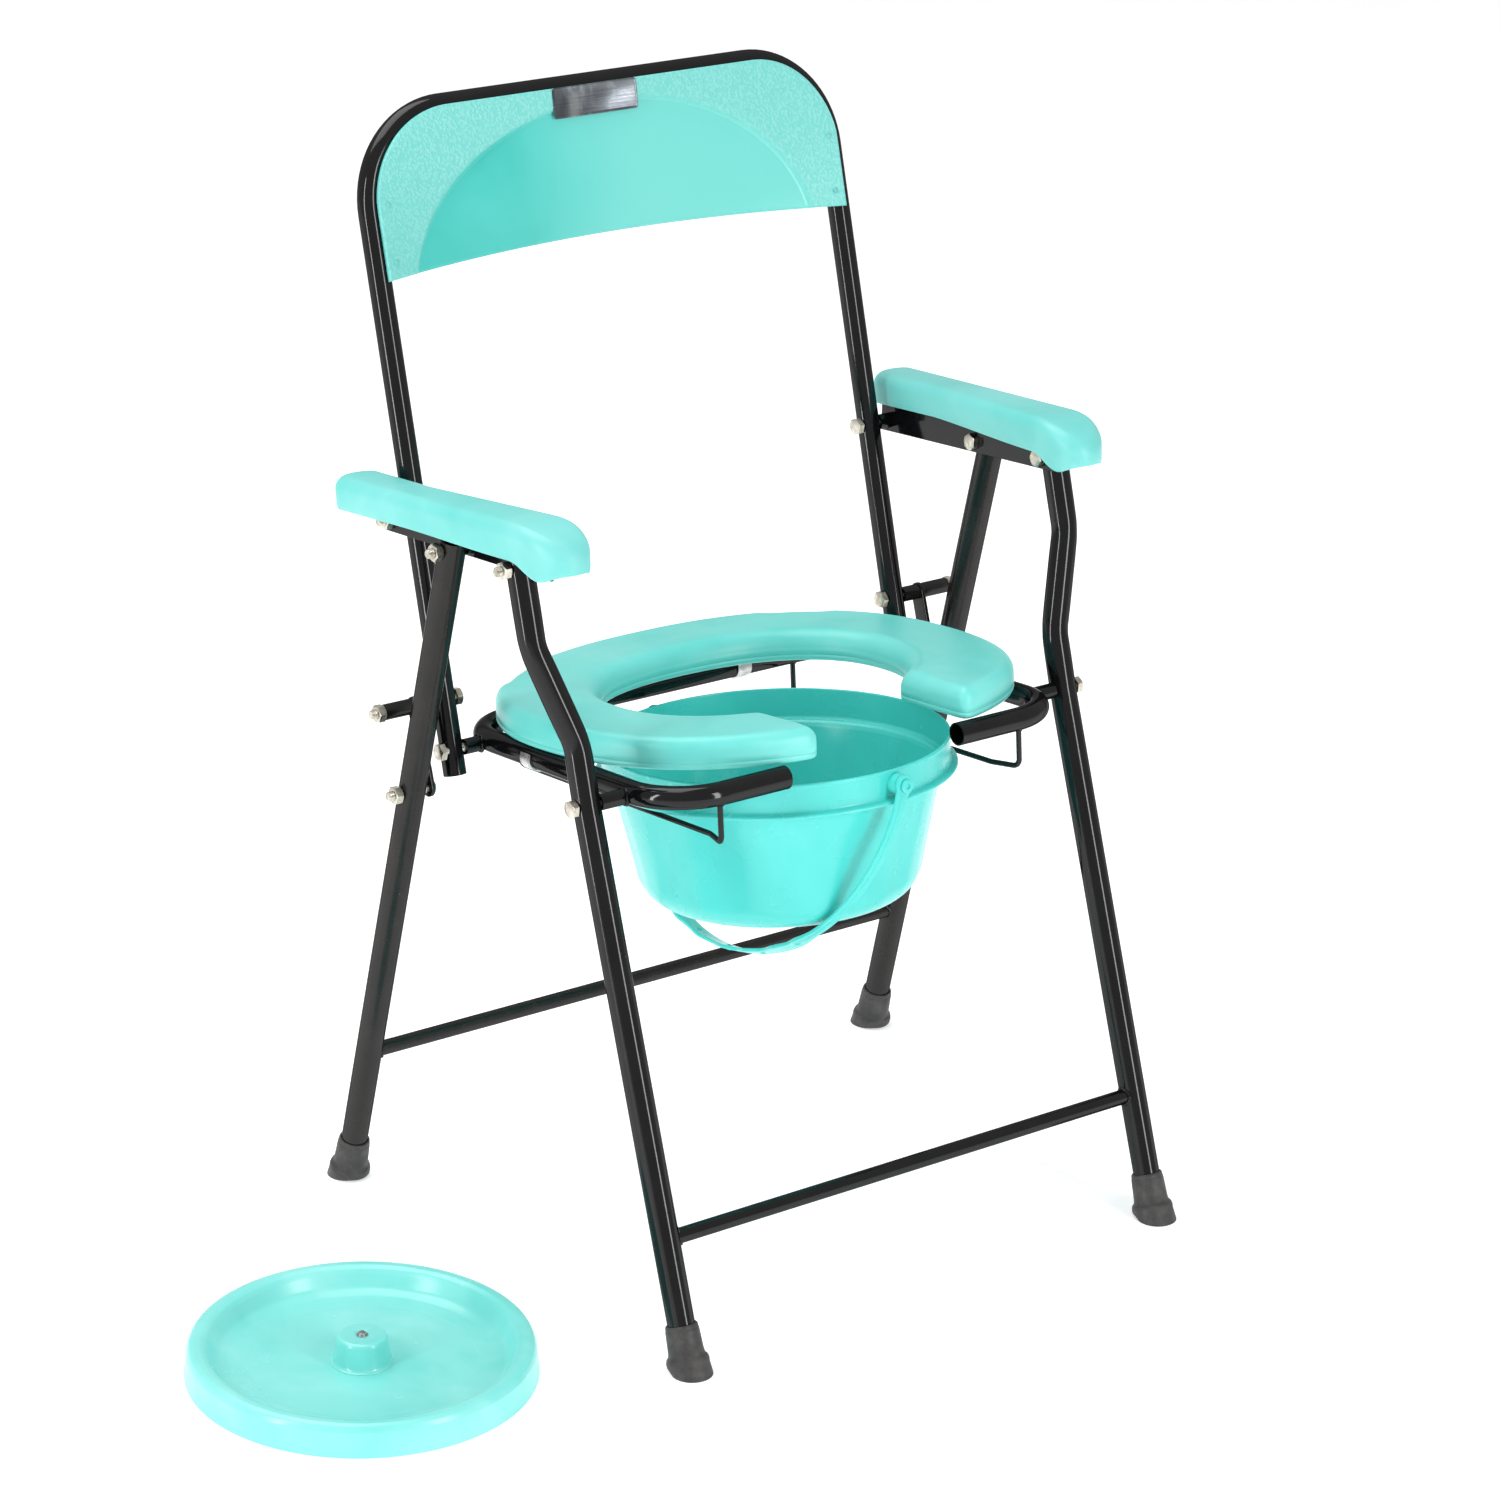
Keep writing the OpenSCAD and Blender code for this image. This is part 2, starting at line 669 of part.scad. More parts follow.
function arc(c, r, a0, a1, n) = [for (i = [0:n]) c + r * [cos(a0 + (a1 - a0) * i / n),
    sin(a0 + (a1 - a0) * i / n)]];

floor_r = 30;
foot_r = 118;

module bucket() color(mint) bucket_place() rotate_extrude($fn = 128) polygon(concat(
    [[0, -bucket_h]],
    arc([foot_r - floor_r, floor_r - bucket_h], floor_r, -90, -8, 6),
    [[135.5, -collar_h - 3], [136.5, -collar_h], [lip_r, -collar_h], [lip_r, -collar_h + 2.6],
        [rim_r - 0.8, -collar_h + 3.6], [rim_r, -0.8], [rim_r - 0.8, 0], [rim_r - skin, 0],
        [rim_r - skin - 0.8, 1 - collar_h], [134.2, 0.4 - collar_h], [133.1, -collar_h - 3]],
    arc([foot_r - floor_r, floor_r - bucket_h], floor_r - skin, -8, -90, 6),
    [[0, skin - bucket_h]]));

bail_in = 151;
bail_t = 3.6;
bail_w = 15;
bail_drop = 13;
pin_d = 8;

module bail_pins() color(mint) bucket_place() difference() {
    for (a = [-90, 90]) rotate([0, 0, a]) translate([0, 0, pin_z]) rotate([0, 90, 0]) {
        translate([0, 0, rim_r - 3]) cylinder(d = 17, h = bail_in - clear - rim_r + 3);
        translate([0, 0, rim_r]) cylinder(d = pin_d, h = bail_in + bail_t + clear - rim_r + eps);
        translate([0, 0, bail_in + bail_t + clear]) cylinder(d = 11, h = 2.4);
    }
    translate([0, 0, -collar_h + 3.6]) cylinder(r1 = rim_r - 0.8, r2 = rim_r, h = collar_h - 4.4, $fn = 128);
    translate([0, 0, -collar_h - 1]) cylinder(r = lip_r, h = 3.6 + eps);
}

// The bail's own frame has its X axis along the pivots
module bail_place() bucket_place() rotate([0, 0, -90]) translate([0, 0, pin_z])
    rotate([-bail_swing, 0, 0]) children();

module bail_handle() color(mint) bail_place() difference() {
    union() {
        translate([0, 0, -bail_drop]) rotate([90, 0, 0]) rotate([0, 0, 180])
            translate([0, 0, -bail_w / 2]) rotate_extrude(angle = 180, $fn = 128)
                translate([bail_in, 0]) square([bail_t, bail_w]);
        both() {
            translate([bail_in, -bail_w / 2, -bail_drop]) cube([bail_t, bail_w, bail_drop]);
            translate([bail_in, 0, 0]) rotate([0, 90, 0]) cylinder(d = bail_w + 3, h = bail_t);
        }
    }
    both() translate([bail_in - 1, 0, 0]) rotate([0, 90, 0]) cylinder(d = pin_d + 0.1, h = bail_t + 2);
}

// ---------- lid ----------

lid_h = 26;
lid_floor = 7;
knob_r = 22.5;
knob_z = 31;

module lid_place() chair() translate([lid_x, lid_y, 0]) children();

module lid() color(mint) lid_place() difference() {
    rotate_extrude($fn = 128) polygon([[0, lid_floor], [108, lid_floor], [114, lid_floor + 2],
        [122, lid_h - skin - 1], [125, lid_h - skin], [131, lid_h - skin], [133, lid_h - skin - 2],
        [lid_r - skin, 0], [lid_r, 0], [135.6, lid_h - 4], [132, lid_h], [124, lid_h],
        [120, lid_h - 3], [112, lid_floor + skin + 2.4], [106, lid_floor + skin],
        [0, lid_floor + skin]]);
    translate([0, 0, lid_floor - 1]) cylinder(d = screw_d, h = 10);
}

module lid_knob() color(mint) lid_place() difference() {
    translate([0, 0, lid_floor + skin]) cylinder(r1 = knob_r, r2 = knob_r - 3,
        h = knob_z - lid_floor - skin);
    translate([0, 0, lid_floor]) cylinder(d = screw_d, h = knob_z);
}

module lid_screw() color(zinc) lid_place() {
    translate([0, 0, lid_floor - 2]) cylinder(d = screw_d, h = knob_z - lid_floor + 2 + eps);
    translate([0, 0, lid_floor - 2.5]) cylinder(d = 9, h = 2.5);
    translate([0, 0, knob_z]) cylinder(d1 = 9, d2 = 6, h = 2.2);
}

back_frame();
back_panel();
panel_rivets();
label_plate();
rear_arm_bolts();
rear_arm_spacers();
lower_pivot_bolts();
stop_bolts();
stop_spacers();
arm_bar_left();
arm_bar_right();
arm_pad_left();
arm_pad_right();
pad_screws_left();
pad_screws_right();
front_leg_left();
front_leg_right();
front_crossbar();
front_feet();
front_top_bolts();
seat_pivot_bolts();
rear_leg_left();
rear_leg_right();
rear_crossbar();
rear_feet();
rear_top_bolts();
rear_top_spacers();
link_nuts();
link_left();
link_right();
link_bolt_left();
link_bolt_right();
seat_frame();
seat_stubs();
seat_rail_left();
seat_rail_right();
seat_ring();
seat_clips();
clip_screws();
bucket();
bail_pins();
bail_handle();
lid();
lid_knob();
lid_screw();
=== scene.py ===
import json
import math

import bpy
import bmesh
from mathutils import Matrix, Vector, noise
from mathutils.geometry import tessellate_polygon
from mathutils.kdtree import KDTree


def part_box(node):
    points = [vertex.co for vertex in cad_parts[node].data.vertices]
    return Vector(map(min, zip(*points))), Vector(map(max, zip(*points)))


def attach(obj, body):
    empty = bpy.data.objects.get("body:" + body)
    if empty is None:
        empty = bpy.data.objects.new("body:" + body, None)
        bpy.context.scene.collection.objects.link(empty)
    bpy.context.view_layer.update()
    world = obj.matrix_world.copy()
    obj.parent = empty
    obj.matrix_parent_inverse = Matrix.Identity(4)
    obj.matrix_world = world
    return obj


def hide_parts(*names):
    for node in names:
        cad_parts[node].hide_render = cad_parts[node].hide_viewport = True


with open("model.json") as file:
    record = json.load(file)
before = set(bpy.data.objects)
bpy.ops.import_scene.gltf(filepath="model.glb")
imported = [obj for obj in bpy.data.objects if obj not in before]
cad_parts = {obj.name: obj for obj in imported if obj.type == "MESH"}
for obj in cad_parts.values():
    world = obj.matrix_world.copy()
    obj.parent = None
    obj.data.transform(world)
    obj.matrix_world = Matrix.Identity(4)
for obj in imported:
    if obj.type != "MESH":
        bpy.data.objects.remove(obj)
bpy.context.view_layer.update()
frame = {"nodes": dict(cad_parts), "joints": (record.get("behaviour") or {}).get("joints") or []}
JOINT = {j["name"]: j for j in frame["joints"]}
SCENE = bpy.context.scene
MM = 0.001
TAU = 2 * math.pi

# ---------- places: every local frame is in millimetres ----------

feet_lo, feet_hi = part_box("front_feet")
MID_X = (feet_lo.x + feet_hi.x) / 2


def turn(degrees, axis):
    return Matrix.Rotation(math.radians(degrees), 4, axis)


def shift(x, y, z):
    return Matrix.Translation((x * MM, y * MM, z * MM))


def side_pivot(name):
    p = JOINT[name]["pos_m"]
    return Vector((MID_X, p[1], p[2]))


def centre_of(node):
    lo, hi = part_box(node)
    return (lo + hi) / 2


ARM_REAR = side_pivot("arm_left_fold")
LEG_REAR = side_pivot("rear_frame_fold")
ARM_FRONT = side_pivot("front_frame_fold")
SEAT_REAR = side_pivot("seat_fold")
STOP = side_pivot("link_left_fold")
SEAT_FRONT = centre_of("seat_pivot_bolts")
LINK_LOW = centre_of("link_bolt_left")
LINK_LOW.x = MID_X
PITCH = math.degrees(math.atan2(ARM_FRONT.z - ARM_REAR.z, ARM_REAR.y - ARM_FRONT.y))
BACK_LEAN = 16.4
ORIGIN_Y = ARM_REAR.y - 194.4 * MM

CHAIR = Matrix.Translation((MID_X, ORIGIN_Y, 0))
ARM = Matrix.Translation(ARM_REAR) @ turn(-PITCH, "X")
BACK = Matrix.Translation(ARM_REAR) @ turn(-BACK_LEAN, "X")
SEAT = Matrix.Translation(SEAT_REAR) @ turn(-PITCH, "X") @ shift(0, 0, 2)
BUCKET = SEAT @ shift(0, -125, -10.5) @ turn(5, "Z")
BAIL = BUCKET @ turn(-90, "Z") @ shift(0, 0, -12) @ turn(-21, "X")
lid_mid = centre_of("lid")
LID = Matrix.Translation((lid_mid.x, lid_mid.y, 0))

# ---------- camera ----------

cam_data = bpy.data.cameras.new("camera")
cam_data.sensor_width = 36
cam_data.lens = 114.88
cam_data.clip_end = 50
cam = bpy.data.objects.new("camera", cam_data)
SCENE.collection.objects.link(cam)
cam_right = Vector((0.8023, -0.5963, 0.02955))
cam_up = Vector((0.1967, 0.3107, 0.9299))
cam_back = Vector((-0.5637, -0.7402, 0.3665))
cam_place = CHAIR @ Vector((-2.2125, -2.8604, 1.82105))
cam_turn = Matrix((cam_right, cam_up, cam_back)).transposed().to_4x4()
cam.matrix_world = Matrix.Translation(cam_place) @ cam_turn
SCENE.camera = cam

# ---------- materials ----------


class Nodes:
    """Builds one procedural material."""

    def __init__(self, name):
        self.mat = bpy.data.materials.new(name)
        self.mat.use_nodes = True
        self.tree = self.mat.node_tree
        self.shader = self.tree.nodes["Principled BSDF"]
        self.coord = self.tree.nodes.new("ShaderNodeTexCoord").outputs["Object"]

    def set(self, **values):
        for key, value in values.items():
            self.shader.inputs[key.replace("_", " ")].default_value = value
        return self

    def node(self, kind, **inputs):
        n = self.tree.nodes.new(kind)
        for key, value in inputs.items():
            socket = n.inputs[key.replace("_", " ")]
            if isinstance(value, bpy.types.NodeSocket):
                self.tree.links.new(value, socket)
            else:
                socket.default_value = value
        return n

    def noise(self, scale, detail=2.0, rough=0.5, stretch=None, warp=0.0):
        vector = self.coord
        if stretch:
            vector = self.node("ShaderNodeMapping", Vector=self.coord, Scale=stretch).outputs[0]
        return self.node("ShaderNodeTexNoise", Vector=vector, Scale=scale, Detail=detail,
                         Roughness=rough, Distortion=warp).outputs["Fac"]

    def ramp(self, fac, stops, smooth=False):
        n = self.node("ShaderNodeValToRGB", Fac=fac)
        n.color_ramp.interpolation = "EASE" if smooth else "LINEAR"
        while len(n.color_ramp.elements) < len(stops):
            n.color_ramp.elements.new(0.5)
        for e, (pos, col) in zip(n.color_ramp.elements, stops):
            e.position = pos
            e.color = (col, col, col, 1) if isinstance(col, (int, float)) else (*col, 1)
        return n.outputs["Color"]

    def math(self, op, a, b=0.0):
        n = self.tree.nodes.new("ShaderNodeMath")
        n.operation = op
        for socket, value in zip(n.inputs, (a, b)):
            if isinstance(value, bpy.types.NodeSocket):
                self.tree.links.new(value, socket)
            else:
                socket.default_value = value
        return n.outputs[0]

    def mix(self, fac, a, b, mode="MIX"):
        n = self.tree.nodes.new("ShaderNodeMix")
        n.data_type = "RGBA"
        n.blend_type = mode
        for index, value in ((0, fac), (6, a), (7, b)):
            if isinstance(value, bpy.types.NodeSocket):
                self.tree.links.new(value, n.inputs[index])
            else:
                n.inputs[index].default_value = value if index == 0 else (*value, 1)
        return n.outputs[2]

    def bump(self, height, strength, distance, normal=None):
        n = self.node("ShaderNodeBump", Height=height, Strength=strength, Distance=distance)
        if normal is not None:
            self.tree.links.new(normal, n.inputs["Normal"])
        return n.outputs[0]

    def link(self, output, socket):
        self.tree.links.new(output, self.shader.inputs[socket])
        return self

    def attribute(self, name):
        n = self.tree.nodes.new("ShaderNodeAttribute")
        n.attribute_name = name
        return n.outputs["Fac"]


def shade(color, k):
    """The same tint, a little deeper (k < 1) or paler (k > 1)."""
    return tuple(min(0.95, c * k ** e) for c, e in zip(color, (2.2, 0.5, 0.6)))


def mint_plastic(name, tint, pebble=None, rough=(0.24, 0.36), scuffs=0.3, side_sheen=None):
    m = Nodes(name)
    deep, pale = shade(tint, 0.88), shade(tint, 1.12)
    cloud = m.noise(9, 3, 0.55, warp=0.4)
    fine = m.noise(70, 4, 0.6)
    color = m.ramp(cloud, [(0.32, deep), (0.5, tint), (0.70, pale)], smooth=True)
    if side_sheen:
        # Painted sheen: the colour turns paler from one side of the panel to the other, where light falls
        # across it
        across_x = m.node("ShaderNodeSeparateXYZ", Vector=m.coord).outputs["X"]
        sheen_across = m.math("ADD", m.math("MULTIPLY", across_x, 2.4), m.math("MULTIPLY", m.noise(5, 2, 0.5), 0.5))
        color = m.mix(m.ramp(sheen_across, [(0.28, 0.0), (0.75, 1.0)], smooth=True), color, side_sheen)
    # Hair-fine rubbed streaks and small dark specks of handling dirt
    streak = m.noise(55, 5, 0.7, stretch=(1, 0.06, 1))
    rub = m.ramp(streak, [(0.58, 0.0), (0.84, 1.0)], smooth=True)
    color = m.mix(m.math("MULTIPLY", rub, 0.16 * scuffs), color, (0.55, 0.90, 0.84))
    speck = m.node("ShaderNodeTexVoronoi", Vector=m.coord, Scale=46.0, Randomness=1.0).outputs["Distance"]
    dirt = m.ramp(speck, [(0.012, 1.0), (0.024, 0.0)])
    dirt = m.math("MULTIPLY", dirt, m.ramp(fine, [(0.55, 0.0), (0.62, 0.5)]))
    color = m.mix(m.math("MULTIPLY", dirt, scuffs), color, (0.03, 0.16, 0.14))
    m.link(color, "Base Color")
    gloss = m.ramp(m.noise(24, 3, 0.6), [(0.3, rough[0]), (0.7, rough[1])])
    gloss = m.mix(m.math("MULTIPLY", rub, min(1.0, 0.5 * scuffs)), gloss, (rough[1] + 0.12,) * 3)
    wave = m.bump(m.noise(14, 1, 0.4), 0.06, 0.003)
    skin = m.bump(fine, 0.05, 0.0006, wave)
    if pebble is not None:
        grain = m.node("ShaderNodeTexVoronoi", Vector=m.coord, Scale=430.0, Randomness=1.0)
        grain.feature = "SMOOTH_F1"
        cell = m.ramp(grain.outputs["Distance"], [(0.1, 1.0), (0.62, 0.0)], smooth=True)
        lump = m.math("ADD", m.math("MULTIPLY", cell, 0.7), m.math("MULTIPLY", m.noise(260, 3, 0.6), 0.6))
        mask = m.attribute("pebble")
        height = m.math("MULTIPLY", lump, mask)
        skin = m.bump(height, 0.42, 0.0008, skin)
        gloss = m.mix(mask, gloss, (0.42, 0.42, 0.42))
        # Painted shade: the hollows of the grain are coloured deeper than its bumps
        valley_shade = m.ramp(lump, [(0.35, 1.0), (0.8, 0.0)])
        tone = m.mix(valley_shade, pebble, shade(pebble, 0.86))
        # Painted sheen: the pebbled skin is coloured paler than the smooth dome, for the sheen of its fine
        # grain
        m.link(m.mix(mask, color, tone), "Base Color")
    m.link(gloss, "Roughness").link(skin, "Normal")
    m.set(IOR=1.49, Specular_IOR_Level=0.55)
    m.set(Subsurface_Weight=0.12, Subsurface_Scale=0.004, Subsurface_Radius=(0.6, 1.0, 0.95))
    return m.mat


def black_paint(name, rough=0.2, brown=False):
    m = Nodes(name)
    tint = (0.008, 0.0065, 0.006) if brown else (0.003, 0.003, 0.0035)
    dusty = m.noise(30, 5, 0.65)
    color = m.ramp(dusty, [(0.35, tint), (0.75, tuple(c * 1.8 for c in tint))], smooth=True)
    chip = m.node("ShaderNodeTexVoronoi", Vector=m.coord, Scale=120.0, Randomness=1.0).outputs["Distance"]
    spot = m.ramp(chip, [(0.03, 1.0), (0.05, 0.0)])
    fleck = m.math("MULTIPLY", spot, m.ramp(m.noise(16, 2), [(0.60, 0.0), (0.66, 1.0)]))
    color = m.mix(fleck, color, (0.16, 0.15, 0.14))
    m.link(color, "Base Color")
    m.link(m.ramp(m.noise(40, 4, 0.6), [(0.3, rough * 0.8), (0.75, rough * 1.3)]), "Roughness")
    peel = m.bump(m.noise(420, 2, 0.5), 0.06, 0.0003)
    ripple = m.bump(m.noise(26, 1, 0.4, stretch=(1, 1, 0.35)), 0.12, 0.0012, peel)
    m.link(ripple, "Normal")
    # The gloss fades towards the outline, so that a tube stays black against a pale room
    facing = m.node("ShaderNodeLayerWeight", Blend=0.5).outputs["Facing"]
    m.link(m.ramp(facing, [(0.30, 0.34), (0.66, 0.01)]), "Specular IOR Level")
    m.set(IOR=1.5)
    return m.mat


def zinc_steel(name, warm=False):
    m = Nodes(name)
    base, low = ((0.66, 0.63, 0.55), (0.42, 0.39, 0.32)) if warm else ((0.66, 0.66, 0.65), (0.40, 0.40, 0.40))
    patch = m.noise(120, 4, 0.6)
    m.link(m.ramp(patch, [(0.35, low), (0.62, base)], smooth=True), "Base Color")
    m.link(m.ramp(m.noise(260, 3, 0.6), [(0.3, 0.22), (0.75, 0.42)]), "Roughness")
    m.link(m.bump(m.noise(700, 3, 0.6), 0.25, 0.0003), "Normal")
    m.set(Metallic=1.0)
    return m.mat


def grey_rubber(name):
    m = Nodes(name)
    dust = m.noise(60, 5, 0.7)
    color = m.ramp(dust, [(0.35, (0.024, 0.023, 0.023)), (0.75, (0.060, 0.057, 0.054))], smooth=True)
    m.link(color, "Base Color")
    m.link(m.ramp(m.noise(90, 3), [(0.3, 0.48), (0.7, 0.68)]), "Roughness")
    m.link(m.bump(m.noise(520, 4, 0.65), 0.3, 0.0005), "Normal")
    m.set(Specular_IOR_Level=0.5)
    return m.mat


def label_foil(name):
    m = Nodes(name)
    brushed = m.noise(900, 3, 0.7, stretch=(0.02, 1, 1))
    cloud = m.noise(26, 3, 0.6, warp=1.2)
    stops = [(0.3, (0.055, 0.06, 0.07)), (0.5, (0.115, 0.125, 0.14)), (0.70, (0.30, 0.32, 0.33))]
    tone = m.ramp(cloud, stops, smooth=True)
    m.link(m.mix(m.math("MULTIPLY", brushed, 0.25), tone, (0.20, 0.215, 0.23)), "Base Color")
    m.link(m.ramp(brushed, [(0.3, 0.20), (0.7, 0.38)]), "Roughness")
    m.link(m.bump(brushed, 0.15, 0.0002), "Normal")
    m.set(Metallic=0.9)
    return m.mat


# Painted sheen and shade: one mint plastic in several tints, paler on the ring, pads and lid where light
# falls and deeper on the bucket and the panel's dome where shade falls
RING_MINT = mint_plastic("mint_seat", (0.150, 0.66, 0.61), rough=(0.30, 0.42), scuffs=0.15)
BUCKET_MINT = mint_plastic("mint_bucket", (0.074, 0.635, 0.59), rough=(0.22, 0.30), scuffs=0.02)
LID_MINT = mint_plastic("mint_lid", (0.225, 0.72, 0.675), rough=(0.20, 0.28), scuffs=0.03)
PANEL_MINT = mint_plastic("mint_pebbled", (0.060, 0.52, 0.47), pebble=(0.21, 0.615, 0.575),
                          rough=(0.20, 0.26), scuffs=0.02, side_sheen=(0.16, 0.61, 0.56))
PAD_MINT = mint_plastic("mint_arm_pad", (0.165, 0.60, 0.565), rough=(0.34, 0.46), scuffs=0.35)
PAD_WORN = mint_plastic("mint_arm_pad_worn", (0.155, 0.60, 0.565), rough=(0.36, 0.50), scuffs=0.8)
RIVET = mint_plastic("rivet_painted", (0.13, 0.50, 0.46), rough=(0.4, 0.5))
PAINT = black_paint("black_powder_coat", rough=0.09)
PAINT_DULL = black_paint("black_powder_coat_worn", rough=0.24, brown=True)
ZINC = zinc_steel("zinc_plate")
ZINC_WARM = zinc_steel("zinc_plate_yellowed", warm=True)
RUBBER = grey_rubber("rubber_grey")
FOIL = label_foil("silver_foil")

# ---------- mesh tools ----------


def sided(s):
    """Mirrors in the chair's middle plane where s is -1, and leaves alone where it is 1."""
    return Matrix.Diagonal((s, 1, 1, 1))


class Shape:
    """Collects closed shells for one piece."""

    def __init__(self):
        self.verts, self.faces = [], []

    def add(self, part, place=None):
        start = len(self.verts)
        self.verts += [(place @ Vector(p)) if place is not None else Vector(p) for p in part[0]]
        self.faces += [[i + start for i in f] for f in part[1]]
        return self

    def both(self, part, place=None):
        """Adds the part and its mirror image in the chair's middle plane."""
        self.add(part, place)
        return self.add(part, sided(-1) @ place)


def build(name, shape, place, body, material, replaces=(), angle=32, masks=None):
    """Makes the piece: local millimetres, placed in the row frame. masks maps a name to values per vertex."""
    mesh = bpy.data.meshes.new(name)
    mesh.from_pydata([place @ (p * MM) for p in shape.verts], [], shape.faces)
    for mask, values in (masks or {}).items():
        mesh.attributes.new(mask, "FLOAT", "POINT").data.foreach_set("value", values)
    work = bmesh.new()
    work.from_mesh(mesh)
    bmesh.ops.remove_doubles(work, verts=work.verts, dist=1e-6)
    bmesh.ops.recalc_face_normals(work, faces=work.faces)
    work.to_mesh(mesh)
    work.free()
    mesh.shade_smooth()
    mesh.set_sharp_from_angle(angle=math.radians(angle))
    mesh.materials.append(material)
    obj = bpy.data.objects.new(name, mesh)
    SCENE.collection.objects.link(obj)
    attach(obj, body)
    if replaces:
        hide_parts(*replaces)
    return obj


def skin(rings, loop=False, cap_a=False, cap_b=False):
    """Joins closed rings of equal length. loop joins the last ring to the first."""
    n, m = len(rings[0]), len(rings)
    verts = [p for r in rings for p in r]
    faces = []
    for i in range(m if loop else m - 1):
        a, b = i * n, (i + 1) % m * n
        for j in range(n):
            k = (j + 1) % n
            faces.append((a + j, a + k, b + k, b + j))
    if cap_a:
        faces.append(tuple(range(n)))
    if cap_b:
        faces.append(tuple(range((m - 1) * n, m * n)))
    return verts, faces


def lathe(profile, n=96, shape=None):
    """Turns an (r, z) profile about Z. Radius 0 closes an end."""
    verts, rows, faces = [], [], []
    for r, z in profile:
        if r < 1e-6:
            rows.append([len(verts)])
            verts.append((0, 0, z))
            continue
        rows.append(range(len(verts), len(verts) + n))
        for k in range(n):
            t = TAU * k / n
            q = shape(r, z, t) if shape else r
            verts.append((q * math.cos(t), q * math.sin(t), z))
    for a, b in zip(rows, rows[1:]):
        for k in range(n):
            j = (k + 1) % n
            if len(a) == 1 and len(b) > 1:
                faces.append((a[0], b[k], b[j]))
            elif len(b) == 1 and len(a) > 1:
                faces.append((a[j], a[k], b[0]))
            elif len(a) > 1:
                faces.append((a[k], a[j], b[j], b[k]))
    return verts, faces


def fillet(points, radii, steps=6, closed=False):
    """Rounds the corners of a polyline, in 2D or 3D."""
    pts = [Vector(p) for p in points]
    out = []
    for i, p in enumerate(pts):
        r = radii[i] if isinstance(radii, (list, tuple)) else radii
        if r <= 0 or (not closed and i in (0, len(pts) - 1)):
            out.append(p.copy())
            continue
        a, b = pts[i - 1] - p, pts[(i + 1) % len(pts)] - p
        la, lb = a.length, b.length
        a.normalize(), b.normalize()
        angle = a.angle(b)
        if angle > math.radians(179.5):
            out.append(p.copy())
            continue
        d = min(r / math.tan(angle / 2), la * 0.49, lb * 0.49)
        centre = p + (a + b).normalized() * (d / math.cos(angle / 2))
        u, v = p + a * d - centre, p + b * d - centre
        total = u.angle(v)
        for s in range(steps + 1):
            t = s / steps
            out.append(centre + (u * math.sin((1 - t) * total) + v * math.sin(t * total)) / math.sin(total))
    return out


def turned(points, steps, n):
    """A lathe of (radius, height, rounding) points."""
    path = fillet([p[:2] for p in points], [p[2] for p in points], steps)
    return lathe([(p[0], p[1]) for p in path], n)


def spaced(path, step):
    """Adds points so that no two are further apart than step."""
    out = [path[0]]
    for a, b in zip(path, path[1:]):
        n = max(1, round((b - a).length / step))
        out += [a.lerp(b, k / n) for k in range(1, n + 1)]
    return out


def frames(path):
    """(point, normal, side) along a path, without twist."""
    out, up = [], None
    for i, p in enumerate(path):
        t = (path[min(i + 1, len(path) - 1)] - path[max(i - 1, 0)]).normalized()
        up = t.orthogonal().normalized() if up is None else (up - t * up.dot(t)).normalized()
        out.append((p, up, t.cross(up)))
    return out


def circle(r, z, n):
    return [(r * math.cos(TAU * k / n), r * math.sin(TAU * k / n), z) for k in range(n)]


def tube(path, d, wall=0.0, n=40, radius=None):
    """A round tube along the path, hollow with open ends if it has a wall."""
    rows, r, chamfer = frames(path), d / 2, 0.35

    def ring(row, r):
        p, u, v = row
        return [p + (u * math.cos(TAU * k / n) + v * math.sin(TAU * k / n)) * r for k in range(n)]

    def rings(r):
        return [ring(row, radius(i, r) if radius else r) for i, row in enumerate(rows)]

    outer, ends = rings(r), []
    for index, other in ((0, 1), (-1, -2)):
        inward = (rows[other][0] - rows[index][0]).normalized()
        ends.append(ring(rows[index], r - chamfer))
        outer[index] = [p + inward * chamfer for p in outer[index]]
    if wall:
        return skin([ends[0], *outer, ends[1], *reversed(rings(r - wall))], loop=True)
    return skin([ends[0], *outer, ends[1]], cap_a=True, cap_b=True)


def hexagon(af, h, bore=0.0, n=60, top=True, low=True):
    """A hexagon with chamfered corners, from z 0 to h."""
    flat = af / 2 * 0.97

    def hexed(z, sign):
        out = []
        for k in range(n):
            t = TAU * k / n
            r = af / 2 / math.cos(t % (math.pi / 3) - math.pi / 6)
            out.append((r * math.cos(t), r * math.sin(t), z - sign * (r - flat) * 0.6))
        return out

    rings = [circle(bore, 0, n)] if bore else []
    rings += [circle(flat, 0, n), hexed(0, -1)] if low else [hexed(0, 0)]
    rings += [hexed(h, 1), circle(flat, h, n)] if top else [hexed(h, 0)]
    if bore:
        rings.append(circle(bore, h, n))
    return skin(rings, loop=bool(bore), cap_a=not bore, cap_b=not bore)


def thread(d, z0, z1, pitch=1.25, n=40):
    """A threaded bolt end with a pointed tip chamfer."""
    profile, z, r = [(0, z0), (d / 2 - 0.1, z0)], z0, d / 2
    while z + pitch < z1 - 0.6:
        profile += [(r, z + pitch * 0.35), (r, z + pitch * 0.5), (r - 0.62, z + pitch * 0.95)]
        z += pitch
    profile += [(r - 0.15, z1 - 0.9), (r - 0.9, z1), (0, z1)]
    return lathe(profile, n)


def rod(d, z0, z1, chamfer=0.4, n=40):
    r, c = d / 2, chamfer
    return lathe([(0, z0), (r - c, z0), (r, z0 + c), (r, z1 - c), (r - c, z1), (0, z1)], n)


def across(point, x):
    """Local frame with +Z along the chair's +X, at a side pivot and at x from the middle."""
    return Matrix.Translation((x, (point.y - ORIGIN_Y) / MM, point.z / MM)) @ turn(90, "Y")


